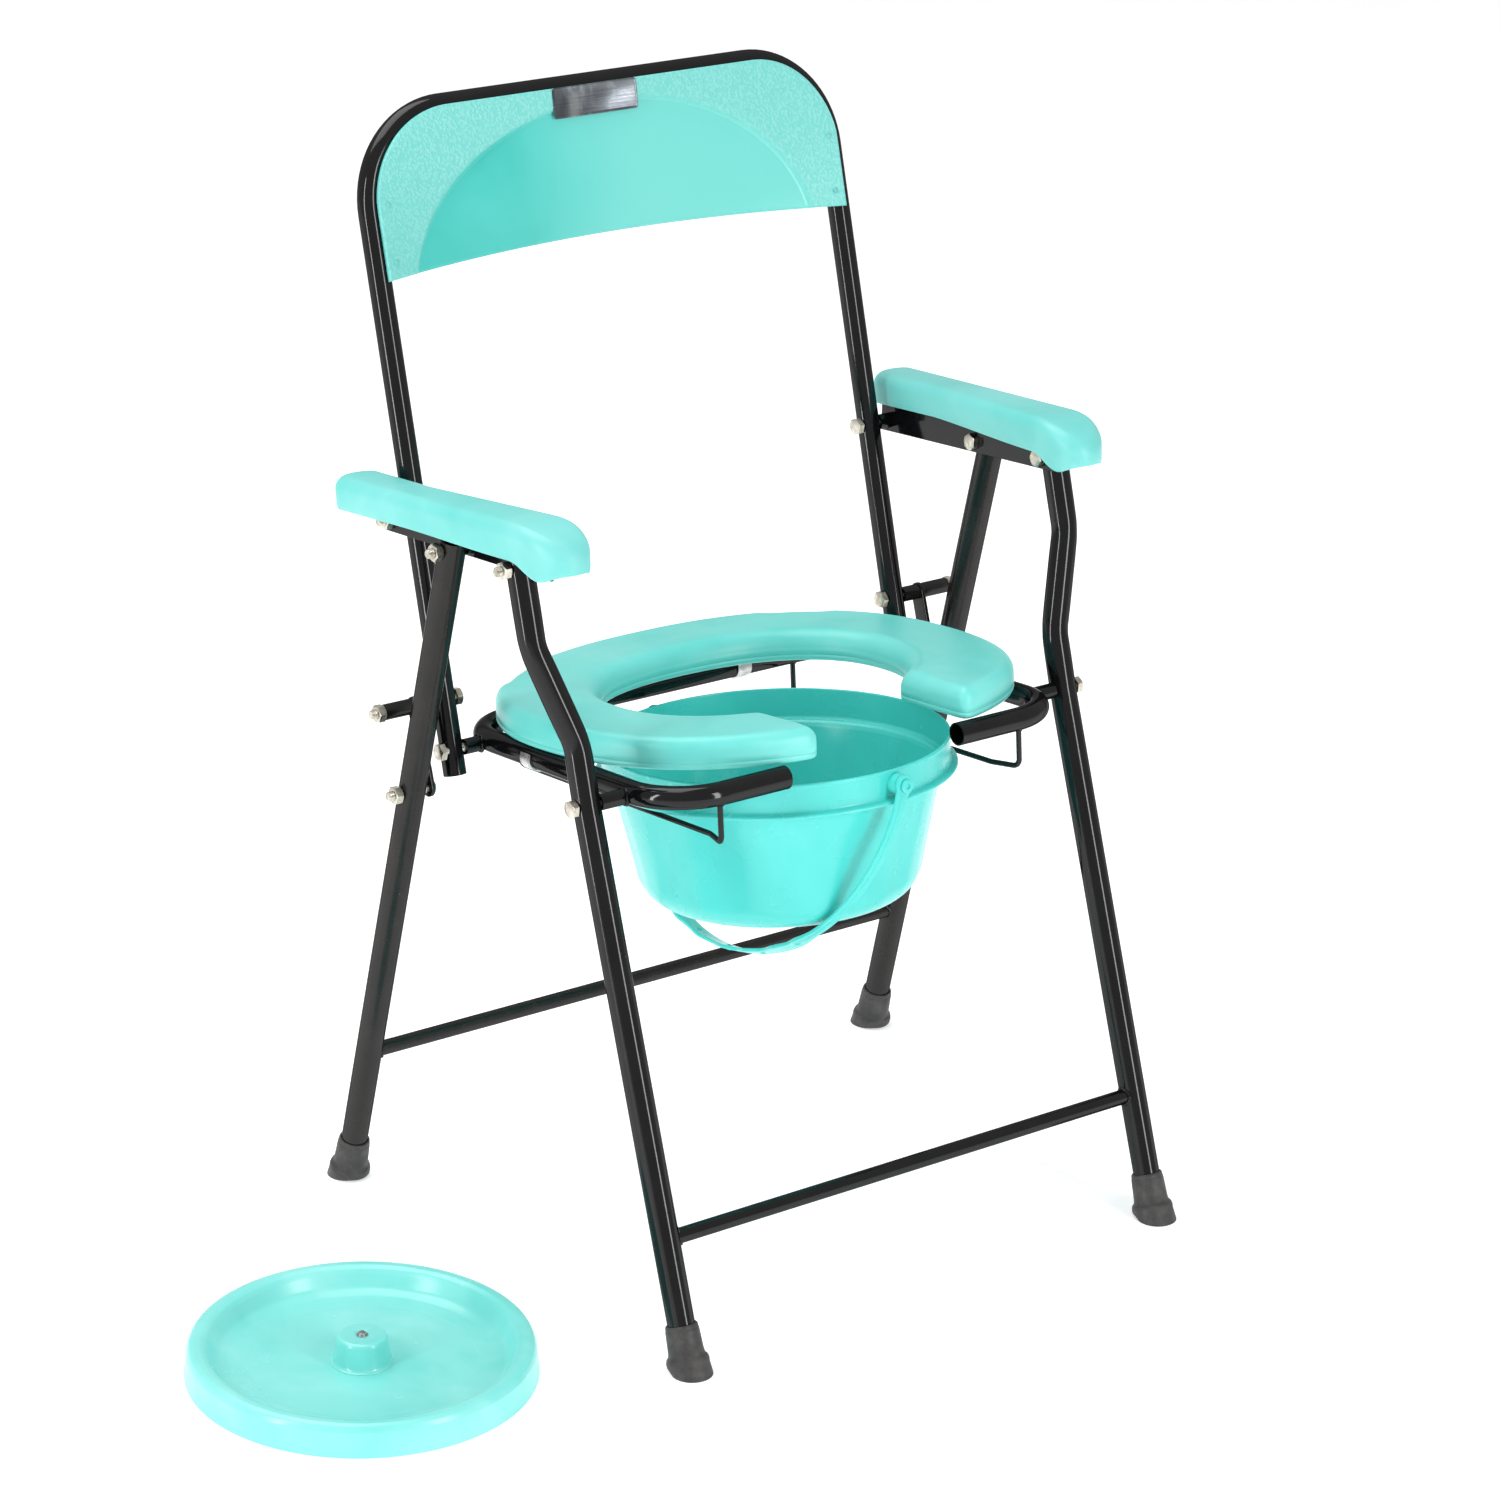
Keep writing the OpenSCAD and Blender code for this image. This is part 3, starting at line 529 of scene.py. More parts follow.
def weld(small, big, seed=0, bead=1.5, n=56):
    """A bead where a small tube, along +Z, meets a big one along X that is centred on z 0."""
    rings = []
    for k in range(n):
        t = TAU * k / n
        wob = 1 + 0.16 * noise.noise(Vector((math.cos(t) * 2.6, math.sin(t) * 2.6, seed * 3.7)))
        y = small * math.sin(t)
        centre = Vector((small * math.cos(t), y, math.sqrt(max(0.0, big * big - y * y))))
        outward = Vector((math.cos(t), math.sin(t), 0))
        lift = Vector((0, y / big, centre.z / big))
        m = (outward + lift).normalized()
        side = m.cross(Vector((-math.sin(t), math.cos(t), 0))).normalized()
        ripple = bead * wob * (1 + 0.10 * math.sin(t * 13 + seed))
        rings.append([centre + (m * math.cos(a) + side * math.sin(a)) * ripple
                      for a in (TAU * j / 10 for j in range(10))])
    return skin(rings, loop=True)


# ---------- bolts ----------

SIDES = (-1, 1)
HANDS = (("left", -1), ("right", 1))
HEAD, NUT, AF, SHANK, TAIL = 5.3, 6.5, 13.0, 7.9, 5.0
STUB_END, LINK_X, LINK_T, EYE_R = 210.0, 256.4, 3.6, 7.6
LENGTHS = {"rear_arm_bolts": 50.9, "front_top_bolts": 43.5, "rear_top_bolts": 49.3, "stop_bolts": 84.6}


def bolt_parts(end, length, spin):
    """Head, shank, nut and thread for a bolt that ends at x = end."""
    head = end - length
    thread_at = end - TAIL - NUT
    out = [(hexagon(AF, HEAD, low=True, top=False), head, spin)]
    out.append((rod(10.6, HEAD - 0.5, HEAD + 0.1), head, 0))
    out.append((rod(SHANK, 1.0, thread_at - head + 1.0), head, 0))
    out.append((hexagon(AF, NUT, 3.9), thread_at, spin * 1.7 + 11))
    out.append((thread(SHANK, 0.5, TAIL + NUT), thread_at, 0))
    return out


for i, (node, body, point) in enumerate((
        ("rear_arm_bolts", "back", ARM_REAR), ("front_top_bolts", "front_frame", ARM_FRONT),
        ("rear_top_bolts", "rear_frame", LEG_REAR), ("stop_bolts", "back", STOP))):
    end = (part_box(node)[1].x - MID_X) / MM
    shape = Shape()
    for part, x, spin in bolt_parts(end, LENGTHS[node], 8 + 23 * i):
        shape.both(part, across(point, x) @ turn(spin, "Z"))
    build(node + "_detailed", shape, CHAIR, body, ZINC_WARM, (node,))

for node, body, point, spin in (
        ("lower_pivot_bolts", "back", SEAT_REAR, 14), ("seat_pivot_bolts", "front_frame", SEAT_FRONT, 3)):
    end = (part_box(node)[1].x - MID_X) / MM
    shape = Shape()
    shape.both(hexagon(AF, HEAD, low=False), across(point, end - HEAD) @ turn(spin, "Z"))
    shape.both(rod(SHANK, 0, end - STUB_END - HEAD + 1), across(point, STUB_END))
    build(node + "_detailed", shape, CHAIR, body, ZINC_WARM, (node,))

end = (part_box("link_nuts")[1].x - MID_X) / MM
split = LINK_X + 5.4
shape = Shape()
shape.both(hexagon(AF, NUT, 3.9), across(LINK_LOW, end - TAIL - NUT) @ turn(20, "Z"))
shape.both(thread(SHANK, 0.3, TAIL + NUT), across(LINK_LOW, end - TAIL - NUT))
shape.both(rod(SHANK, 0, end - TAIL - NUT - split + 0.5), across(LINK_LOW, split))
build("link_nuts_detailed", shape, CHAIR, "rear_frame", ZINC_WARM, ("link_nuts",))


def strip_mesh(length, n=28):
    """A flat strip with round ends and soft edges, from the origin along +Y."""
    half_turn = [math.pi * k / n for k in range(n + 1)]
    outline = [(EYE_R * math.cos(a), length + EYE_R * math.sin(a)) for a in half_turn]
    outline += [(EYE_R * math.cos(math.pi + a), EYE_R * math.sin(math.pi + a)) for a in half_turn]
    mid, rings = length / 2, []
    lower = ((0.6, 0), (0.15, 0.15), (0, 0.6))
    for inset, z in (*lower, *((i, LINK_T - z) for i, z in reversed(lower))):
        narrow, short = (EYE_R - inset) / EYE_R, (mid + EYE_R - inset) / (mid + EYE_R)
        rings.append([(x * narrow, (y - mid) * short + mid, z) for x, y in outline])
    return skin(rings, cap_a=True, cap_b=True)


link_run = LINK_LOW - STOP
link_lean = math.degrees(math.atan2(link_run.y, link_run.z))
link_turn = turn(-link_lean, "X") @ turn(90, "Y") @ turn(90, "Z")
link_place = Matrix.Translation((LINK_X, (STOP.y - ORIGIN_Y) / MM, STOP.z / MM)) @ link_turn
button = lathe([(0, -3.0), (3.4, -2.9), (5.4, -2.2), (6.4, -0.9), (6.5, 0), (0, 0)], 48)
for name, s in HANDS:
    shape = Shape()
    for part in (button, rod(SHANK, 0, 5.2)):
        shape.add(part, sided(s) @ across(LINK_LOW, LINK_X))
    build(f"link_bolt_{name}_detailed", shape, CHAIR, f"{name}_link", ZINC, (f"link_bolt_{name}",))
    shape = Shape().add(strip_mesh(link_run.length / MM), sided(s) @ link_place)
    build(f"link_{name}_detailed", shape, CHAIR, f"{name}_link", PAINT_DULL, (f"link_{name}",))

# ---------- rivets and the blank plate ----------

PANEL_HALF, PANEL_DROP, PANEL_ARCH, PANEL_BOW, PANEL_CURL, PANEL_T = 229.0, 132.0, 10.0, 26.0, 1.5, 4.0
TOP = (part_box("back_frame")[1].z / MM - 9.5 - ARM_REAR.z / MM) / math.cos(math.radians(BACK_LEAN))
BEND = 78.0
RIVET_IN = 9.0


def panel_y(x, d):
    """Back face of the panel, d below its top."""
    return -10.1 + PANEL_BOW * (1 - (x / PANEL_HALF) ** 2) * (max(0.0, d) / PANEL_DROP) ** PANEL_CURL


def panel_high(x):
    q = abs(x) - (PANEL_HALF - BEND)
    return TOP if q <= 0 else TOP - BEND + math.sqrt(max(0.0, BEND ** 2 - q ** 2))


def ease(t):
    t = min(1.0, max(0.0, t))
    return t * t * (3 - 2 * t)


def dome(x, z):
    """0 outside the smooth sunken dome of the panel, 1 inside it."""
    d = TOP - z
    r = math.sqrt((x / 200.0) ** 2 + ((151 - d) / 137.5) ** 2)
    return ease((1.0 - r) / 0.021 + 0.5)


def panel_mesh():
    """The moulded sheet, and how pebbled its skin is at each vertex."""
    cols, rows = 260, 84
    front, rear, pebble = [], [], []
    for i in range(cols + 1):
        x = -PANEL_HALF * math.cos(math.pi * i / cols) * 0.6 - PANEL_HALF * (1 - 2 * i / cols) * 0.4
        low, high = TOP - PANEL_DROP + PANEL_ARCH * (1 - (x / PANEL_HALF) ** 2), panel_high(x)
        for j in range(rows + 1):
            z = low + (high - low) * j / rows
            edge = min(high - z, z - low, PANEL_HALF - abs(x))
            roll = 0.9 * (1 - min(1.0, edge / 1.4)) ** 2
            sink = dome(x, z)
            y = panel_y(x, TOP - z)
            front.append((x, y - PANEL_T + roll + 2.6 * sink, z))
            rear.append((x, y - 0.8 * roll, z))
            pebble.append(1.0 - sink)
    n = rows + 1
    faces = []
    for i in range(cols):
        for j in range(rows):
            a = i * n + j
            faces.append((a, a + 1, a + n + 1, a + n))
    total = len(front)
    faces += [tuple(v + total for v in reversed(f)) for f in faces]
    rim = [i * n for i in range(cols)] + [cols * n + j for j in range(rows)]
    rim += [i * n + rows for i in range(cols, 0, -1)] + [j for j in range(rows, 0, -1)]
    faces += [(a, b, b + total, a + total) for a, b in zip(rim, rim[1:] + rim[:1])]
    return front + rear, faces, pebble + [0.6] * total


verts, faces, pebble = panel_mesh()
build("back_panel_moulded", Shape().add((verts, faces)), BACK, "back", PANEL_MINT, ("back_panel",),
      angle=50, masks={"pebble": pebble})

shape = Shape()
for d in (118.0, 72.0):
    x = PANEL_HALF - RIVET_IN
    head = lathe([(0, 1.3), (1.0, 1.25), (2.0, 0.8), (2.5, 0.1), (2.5, -0.4), (0, -0.4)], 40)
    shape.both(head, Matrix.Translation((x, panel_y(x, d) - PANEL_T - 0.4, TOP - d)) @ turn(90, "X"))
build("panel_rivets_domed", shape, BACK, "back", RIVET, ("panel_rivets",))


def plate_mesh(w, h, t, corner, lip):
    """A thin plate with rounded corners and a raised border, in X and Y, with its face up."""
    def loop(inset, z):
        a, b = w / 2 - inset, h / 2 - inset
        corners = [(-a, -b), (a, -b), (a, b), (-a, b)]
        return [Vector((p.x, p.y, z)) for p in fillet(corners, max(0.4, corner - inset), 8, True)]
    rows = [loop(0, 0), loop(0, t - 0.25), loop(0.25, t), loop(lip, t), loop(lip + 0.3, t - 0.22)]
    return skin(rows, cap_a=True, cap_b=True)


LABEL_X, LABEL_H, LABEL_W = -10.0, 25.0, 83.0
label_lean = math.degrees(math.atan((panel_y(LABEL_X, LABEL_H) - panel_y(LABEL_X, 0)) / LABEL_H))
label_y = panel_y(LABEL_X, LABEL_H / 2) - PANEL_T - 0.25
place = Matrix.Translation((LABEL_X, label_y, TOP - LABEL_H / 2)) @ turn(label_lean, "X") @ turn(90, "X")
shape = Shape().add(plate_mesh(LABEL_W, LABEL_H, 0.8, 2.6, 1.6), place)
build("blank_plate", shape, BACK, "back", FOIL, ("label_plate",), angle=40)

# ---------- steel tubes ----------

LEG_D, SEAT_D, WALL = 22.2, 19.0, 1.2
ARM_X, LEG_X, REAR_X, SEAT_X = 266.0, 240.0, 279.0, 197.0
FRONT_FOOT, REAR_FOOT, REAR_SPLAY = -218.0, 218.0, 7.5
BEND_HIGH, BEND_LOW = 63.0, 143.0


def down(point, y, z):
    return Vector(((point.y - ORIGIN_Y) / MM + y, point.z / MM + z))


def at(x, p):
    return Vector((x, p[0], p[1]))


post = ARM_FRONT - SEAT_FRONT
post_dir = Vector((post.y, post.z)).normalized()
front_foot = Vector((FRONT_FOOT, 0.0))
arm_front = down(ARM_FRONT, 0, 0)
seat_front = down(SEAT_FRONT, 0, 0)
low_dir = (seat_front - front_foot).normalized()
leg_path = [at(ARM_X, arm_front + post_dir * 9), at(ARM_X, arm_front - post_dir * BEND_HIGH),
            at(LEG_X, arm_front - post_dir * BEND_LOW), at(LEG_X, seat_front),
            at(LEG_X, front_foot + low_dir * 6)]
smooth_leg = spaced(fillet(leg_path, [0, 58, 58, 120, 0], 12), 14)


def crimp(i, r):
    """The tube is squeezed a little where it was bent."""
    z = smooth_leg[i].z
    near = min(abs(z - leg_path[1].z), abs(z - leg_path[2].z))
    return r * (1 - 0.035 * math.exp(-(near / 9) ** 2))


for name, s in HANDS:
    path = [Vector((p.x * s, p.y, p.z)) for p in smooth_leg]
    shape = Shape().add(tube(path, LEG_D, WALL, 48, crimp))
    build(f"front_leg_{name}_bent", shape, CHAIR, "front_frame", PAINT, (f"front_leg_{name}",),
          angle=40)

RAIL_X, RAIL_REAR, RAIL_TOP, RAIL_LOW = 142.0, 39.0, -9.0, -40.0
rail_pts = [(150, -254, RAIL_TOP), (150, -254, RAIL_LOW), (RAIL_X, -228, RAIL_LOW),
            (RAIL_X, RAIL_REAR, RAIL_LOW), (RAIL_X, RAIL_REAR, RAIL_TOP)]
for name, s in HANDS:
    path = [Vector((p.x * s, p.y, p.z)) for p in spaced(fillet(rail_pts, [0, 6, 9, 9, 0], 8), 8)]
    shape = Shape().add(tube(path, 4.5, 0, 24))
    for k, p in enumerate((path[0], path[-1])):
        shape.add(weld(2.2, 9.3, seed=k + s, bead=1.0), Matrix.Translation((p.x, p.y, 0)) @ turn(180, "X"))
    build(f"seat_rail_{name}_bent", shape, SEAT, "seat", PAINT, (f"seat_rail_{name}",),
          angle=40)


def bar_weld(name, bar, leg_x, splay, lean, body, material, seed):
    """Beads at both ends of a crossbar, on legs that are leg_x out at the floor and splay less per mm up."""
    bar_lo, bar_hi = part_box(bar)
    y, z = ((bar_lo.y + bar_hi.y) / 2 - ORIGIN_Y) / MM, (bar_lo.z + bar_hi.z) / 2 / MM
    place = Matrix.Translation((leg_x - splay * z, y, z)) @ turn(-lean, "X") @ turn(-90, "Y")
    shape = Shape().both(weld(6.4, LEG_D / 2, seed=seed, bead=1.7), place)
    build(name, shape, CHAIR, body, material, ())


leg_rear = down(LEG_REAR, 0, 0)
rear_foot = Vector((REAR_FOOT, 0.0))
front_lean = math.degrees(math.atan2(low_dir[0], low_dir[1]))
rear_lean = math.degrees(math.atan2(leg_rear[0] - rear_foot[0], leg_rear[1] - rear_foot[1]))
bar_weld("front_crossbar_welds", "front_crossbar", LEG_X, 0, front_lean, "front_frame", PAINT, 3)
bar_weld("rear_crossbar_welds", "rear_crossbar", REAR_X, REAR_SPLAY / leg_rear[1], rear_lean, "rear_frame",
         PAINT_DULL, 5)

shape = Shape()
for k, point in enumerate((SEAT_REAR, SEAT_FRONT)):
    place = at(SEAT_X, down(point, 0, 0))
    shape.both(weld(6.5, SEAT_D / 2, seed=7 + k, bead=1.6),
               Matrix.Translation(place) @ turn(-PITCH, "X") @ turn(90, "Z") @ turn(90, "X"))
build("seat_stub_welds", shape, CHAIR, "seat", PAINT, ())

# ---------- rubber tips ----------

# (radius, height, rounding) up the outside of a tip and down its bore
TIP = [(0, -12, 0), (15.6, -12, 0.8), (16.9, -10.9, 1), (17.1, 5.5, 1), (17.3, 8.2, 1), (16.9, 10.0, 0.6),
       (16.4, 11.4, 0.6), (15.2, 12.6, 0.6), (14.5, 14.2, 1), (14.2, 17, 1), (13.7, 30, 1), (13.5, 33.4, 0.4),
       (13.1, 34.2, 0.2), (13.15, 34.9, 0.2), (12.9, 37.0, 0.5), (12.2, 38.0, 0.4), (11.3, 38.0, 0.3),
       (11.1, 37.5, 0.2), (11.1, 6, 0), (0, 6, 0)]


def above_floor(part, place):
    """Flattens what would be below the floor, as a tip that stands on it does."""
    out = []
    for p in part[0]:
        q = place @ Vector(p)
        if q.z < 0:
            q.z = 0
        out.append(q)
    return out, part[1]


rear_splay = math.degrees(math.atan2(REAR_SPLAY, leg_rear[1]))
for name, x, foot, lean, splay in (
        ("front", LEG_X, front_foot, front_lean, 0), ("rear", REAR_X, rear_foot, rear_lean, rear_splay)):
    shape = Shape()
    for s in SIDES:
        place = Matrix.Translation((x * s, foot[0], 0)) @ turn(-splay * s, "Y") @ turn(-lean, "X")
        shape.add(above_floor(turned(TIP, 3, 96), place))
    build(f"{name}_rubber_tips", shape, CHAIR, f"{name}_frame", RUBBER, (f"{name}_feet",),
          angle=38)

# ---------- arms ----------

BAR_IN, BAR_T, BAR_LOW, BAR_HIGH, BAR_WIDE = 251.0, 3.0, -9.5, 26.0, 28.0


def bar_mesh():
    """An angle bar: the flange profile runs along the arm, with both ends cut at a slant."""
    # Section, as (x, z) round the L
    x0, x1, x2 = BAR_IN, BAR_IN + BAR_T, BAR_IN + BAR_WIDE
    z0, z1, z2 = BAR_LOW, BAR_HIGH - BAR_T, BAR_HIGH
    corners = [(x0, z0), (x1, z0), (x1, z1), (x2, z1), (x2, z2), (x0, z2)]
    section = fillet(corners, [0.8, 0.8, 2.2, 0.8, 0.8, 3.0], 5, True)
    rings = []
    for k in range(25):
        ring = []
        for x, z in ((p[0], p[1]) for p in section):
            h = (z - BAR_LOW) / (BAR_HIGH - BAR_LOW)
            front, rear = -238 + 12 * (1 - h), 9.6 - 3.4 * h
            ring.append((x, front + (rear - front) * k / 24, z))
        rings.append(ring)
    return skin(rings, cap_a=True, cap_b=True)


PAD_REAR, PAD_FRONT, PAD_TOP, PAD_SKIRT = 30.0, -266.0, 39.0, 13.0
NOSE_Y, NOSE_DROP, TAIL_LEN, NOSE_LEN = -215.0, 18.5, 19.0, 40.0


def pad_in(y):
    q = 254 + (y + 20) * 0.11
    return min(q, 249.0 + 0.08 * (q - 249.0)) if q > 249 else q


def pad_out(y):
    return 292 + (y + 20) * 0.045


def pad_outline():
    """Plan of the pad as a closed loop: rear tip, inner side, front tip, outer side."""
    def row(y, close):
        mid, half = (pad_in(y) + pad_out(y)) / 2, (pad_out(y) - pad_in(y)) / 2
        return mid - half * close, mid + half * close
    rows = []
    for k in range(25):
        a = math.pi / 2 * (1 - k / 24)
        rows.append((PAD_REAR - TAIL_LEN * (1 - math.sin(a)), math.cos(a)))
    y = PAD_REAR - TAIL_LEN
    while y - 6 > PAD_FRONT + NOSE_LEN:
        y -= 6
        rows.append((y, 1.0))
    for k in range(1, 29):
        a = math.pi / 2 * k / 28
        rows.append((PAD_FRONT + NOSE_LEN * (1 - math.sin(a)), math.cos(a) ** 0.92))
    inner = [Vector((row(y, c)[0], y)) for y, c in rows]
    outer = [Vector((row(y, c)[1], y)) for y, c in rows]
    return inner, outer


def inset_loop(loop, inset):
    """Moves a closed plane loop inwards. Where a corner is too sharp for it, the loop is cut short there."""
    n = len(loop)
    area = sum(loop[i].x * loop[(i + 1) % n].y - loop[(i + 1) % n].x * loop[i].y for i in range(n))
    sign = 1 if area > 0 else -1
    near = KDTree(n)
    for i, p in enumerate(loop):
        near.insert((p.x, p.y, 0), i)
    near.balance()
    out, good = [], []
    for i in range(n):
        t = (loop[(i + 1) % n] - loop[i - 1]).normalized()
        q = inset[i] if isinstance(inset, list) else inset
        p = loop[i].xy + Vector((-t.y, t.x)) * sign * q
        out.append(p)
        good.append(near.find((p.x, p.y, 0))[2] > 0.985 * abs(q) - 0.02)
    if all(good) or not any(good):
        return out
    start = good.index(True)
    i = start
    while i < start + n:
        if good[(i + 1) % n]:
            i += 1
            continue
        j = i + 1
        while not good[j % n]:
            j += 1
        a, b = out[i % n], out[j % n]
        for k in range(i + 1, j):
            out[k % n] = a.lerp(b, (k - i) / (j - i))
        i = j
    return out


def pad_top(x, y):
    mid, half = (pad_in(y) + pad_out(y)) / 2, (pad_out(y) - pad_in(y)) / 2
    crown = 1.4 * (1 - min(1.0, abs(x - mid) / half) ** 2)
    nose = max(0.0, (NOSE_Y - y) / (NOSE_Y - PAD_FRONT))
    tail = max(0.0, (y - (PAD_REAR - 18)) / 18)
    return PAD_TOP - 0.9 + crown - NOSE_DROP * nose ** 2 - 2.5 * tail ** 2


def pad_low(y):
    """Lower edge of the skirt: level, then turning down round the nose."""
    t = ease((NOSE_Y + 2.5 - y) / 40)
    return PAD_SKIRT - 3.2 * ease((-60 - y) / 150) - 13.8 * t + 7.0 * ease((-240 - y) / 26)


def pad_mesh():
    inner, outer = pad_outline()
    loop = inner + outer[-2:0:-1]
    round_r = 9.5
    rings = []
    for depth in (0.0, 0.18, 0.5, 0.8, 1.0):
        ring = inset_loop(loop, 0.35 * (1 - depth) if depth else 0.9)
        rings.append([])
        for p in ring:
            low, high = pad_low(p.y) + 0.6, pad_top(p.x, p.y) - round_r
            rings[-1].append(Vector((p.x, p.y, low + depth * (high - low))))
    for k in range(1, 9):
        a = math.pi / 2 * k / 8
        flat = inset_loop(loop, round_r * (1 - math.cos(a)) * 0.96)
        rings.append([Vector((p.x, p.y, pad_top(p.x, p.y) - round_r + round_r * math.sin(a))) for p in flat])
    verts, faces = skin(rings)
    # The top: rungs between the two long edges
    n, start = len(loop), (len(rings) - 1) * len(loop)
    rows = len(inner)
    cross = 6
    index = []
    last = rings[-1]
    for i in range(rows):
        a, b = i, (n - i) % n
        if i in (0, rows - 1):
            index.append([start + i] * (cross + 1))
            continue
        line = [start + a]
        for k in range(1, cross):
            p = last[a].lerp(last[b], k / cross)
            line.append(len(verts))
            verts.append(Vector((p.x, p.y, pad_top(p.x, p.y))))
        line.append(start + b)
        index.append(line)
    for r, s in zip(index, index[1:]):
        for k in range(cross):
            quad = [r[k], r[k + 1], s[k + 1], s[k]]
            clean = [v for j, v in enumerate(quad) if v not in quad[:j]]
            if len(clean) > 2:
                faces.append(tuple(clean))
    # The hollow underside
    under = []
    for inset, lift in ((1.1, 0.0), (2.6, 0.4), (3.0, 1.5)):
        under.append([Vector((p.x, p.y, pad_low(p.y) + lift)) for p in inset_loop(loop, inset)])
    ceiling = [Vector((p.x, p.y, min(BAR_HIGH + 0.2, pad_top(p.x, p.y) - 4))) for p in inset_loop(loop, 3.2)]
    for p in ceiling:
        p.z = max(p.z, pad_low(p.y) + 2)
    base = len(verts)
    more, more_faces = skin([rings[0], *under, ceiling], cap_b=True)
    verts += more
    faces += [tuple(v + base for v in f) for f in more_faces]
    return verts, faces


for name, s in HANDS:
    build(f"arm_bar_{name}_angle", Shape().add(bar_mesh(), sided(s)), ARM, f"{name}_arm", PAINT,
          (f"arm_bar_{name}",), angle=40)
    build(f"arm_pad_{name}_moulded", Shape().add(pad_mesh(), sided(s)), ARM, f"{name}_arm",
          PAD_WORN if s < 0 else PAD_MINT, (f"arm_pad_{name}",), angle=50)

# ---------- seat ring ----------

RING_LOW, RING_T, RING_X, RING_Y = 9.6, 26.0, 8.0, -88.0
RING_OUT, RING_IN, RING_POWER = (207.0, 176.0), (132.0, 101.0), 2.3
GAP_LEFT, GAP_RIGHT = 60.0, 84.0


def oval(size, t):
    c, s = math.cos(t), math.sin(t)
    x, y = abs(c) ** (2 / RING_POWER), abs(s) ** (2 / RING_POWER)
    return Vector((size[0] * math.copysign(x, c), size[1] * math.copysign(y, s)))


def ring_arc(size, n):
    a = -math.acos((GAP_RIGHT / size[0]) ** (RING_POWER / 2))
    b = math.pi + math.acos((GAP_LEFT / size[0]) ** (RING_POWER / 2))
    return [oval(size, a + (b - a) * i / n) for i in range(n + 1)]


def resample(loop, step):
    n = len(loop)
    lengths = [(loop[(i + 1) % n] - loop[i]).length for i in range(n)]
    total = sum(lengths)
    count = round(total / step)
    out, i, done = [], 0, 0.0
    for k in range(count):
        want = total * k / count
        while done + lengths[i] < want:
            done += lengths[i]
            i += 1
        out.append(loop[i].lerp(loop[(i + 1) % n], (want - done) / lengths[i]))
    return out


def relax(loop, centre, reach, rounds):
    """Rounds the part of the loop that is near a corner."""
    mask = [ease(1.6 - (p - centre).length / reach) for p in loop]
    n = len(loop)
    for _ in range(rounds):
        loop = [p.lerp((loop[i - 1] + loop[(i + 1) % n]) / 2, 0.5 * mask[i]) for i, p in enumerate(loop)]
    return loop


def ring_mesh():
    outer, inner = ring_arc(RING_OUT, 200), ring_arc(RING_IN, 160)
    for p in outer:
        # Finger cuts at the two rear corners
        lean = math.degrees(math.atan2(p.y, abs(p.x)))
        p -= p.normalized() * 4.6 * ease((9.5 - abs(lean - 42.7)) / 3.5)
        # The moulding stands out a little at one front corner and at the other side
        around = math.degrees(math.atan2(p.y, p.x))
        side = (around - 160 + 180) % 360 - 180
        p *= 1 + 0.045 * math.exp(-((around + 38) / 26) ** 2) + 0.032 * math.exp(-(side / 30) ** 2)
    loop = resample(outer + inner[::-1], 2.6)
    # The tips of the prongs
    for end, reach, rounds in (
            (outer[-1], 20, 26), (inner[-1], 18, 24), (outer[0], 20, 26), (inner[0], 12, 8)):
        loop = relax(loop, end, reach, rounds)
    # Wider rounding on the inner edge than on the outer
    hole = [ease((1.0 - math.hypot(p.x / 172, p.y / 147)) * 5 + 0.5) for p in loop]
    tip = [ease((-p.y - 90) / 60) for p in loop]
    top_r = [11.0 + 4.5 * h - 3.0 * h * t for h, t in zip(hole, tip)]
    low_r, seam, rings = 3.5, 5.5, []
    for k in range(6):
        a = math.pi / 2 * k / 5
        flat = inset_loop(loop, low_r * (1 - math.sin(a)))
        rings.append([Vector((p.x, p.y, low_r * (1 - math.cos(a)))) for p in flat])
    rings.append([Vector((p.x, p.y, seam - 0.5)) for p in loop])
    rings.append([Vector((p.x, p.y, seam)) for p in inset_loop(loop, 0.45)])
    rings.append([Vector((p.x, p.y, seam + 0.5)) for p in loop])
    rings.append([Vector((p.x, p.y, (seam + RING_T - 11) / 2)) for p in inset_loop(loop, -0.1)])
    for k in range(0, 11):
        a = math.pi / 2 * k / 10
        flat = inset_loop(loop, [r * (1 - math.cos(a)) for r in top_r])
        rings.append([Vector((p.x, p.y, RING_T - top_r[i] * (1 - math.sin(a)))) for i, p in enumerate(flat)])
    for ring, at_end in ((rings[0], False), (rings[-1], True)):
        flat = [Vector((p.x, p.y, q.z)) for p, q in zip(inset_loop([p.xy for p in ring], 0.6), ring)]
        rings.insert(len(rings) if at_end else 0, flat)
    verts, faces = skin(rings)
    n = len(loop)
    for start in (0, (len(rings) - 1) * n):
        faces += [tuple(start + i for i in f) for f in tessellate_polygon([verts[start:start + n]])]
    return verts, faces


shape = Shape().add(ring_mesh(), Matrix.Translation((RING_X, RING_Y, RING_LOW)))
build("seat_ring_moulded", shape, SEAT, "seat", RING_MINT, ("seat_ring",), angle=60)

# ---------- bucket, bail ----------

RIM, COLLAR, BUCKET_H, LIP, WALL_T = 143.0, 27.0, 134.0, 148.4, 2.2


def body_ripple(r, z, t):
    """Broad soft flats down the side of the bucket's body."""
    band = ease((-COLLAR - 2 - z) / 12) * ease((z + BUCKET_H - 4) / 22)
    return r - 1.3 * band * (0.5 + 0.5 * math.cos(14 * t)) ** 2 if r > 60 else r


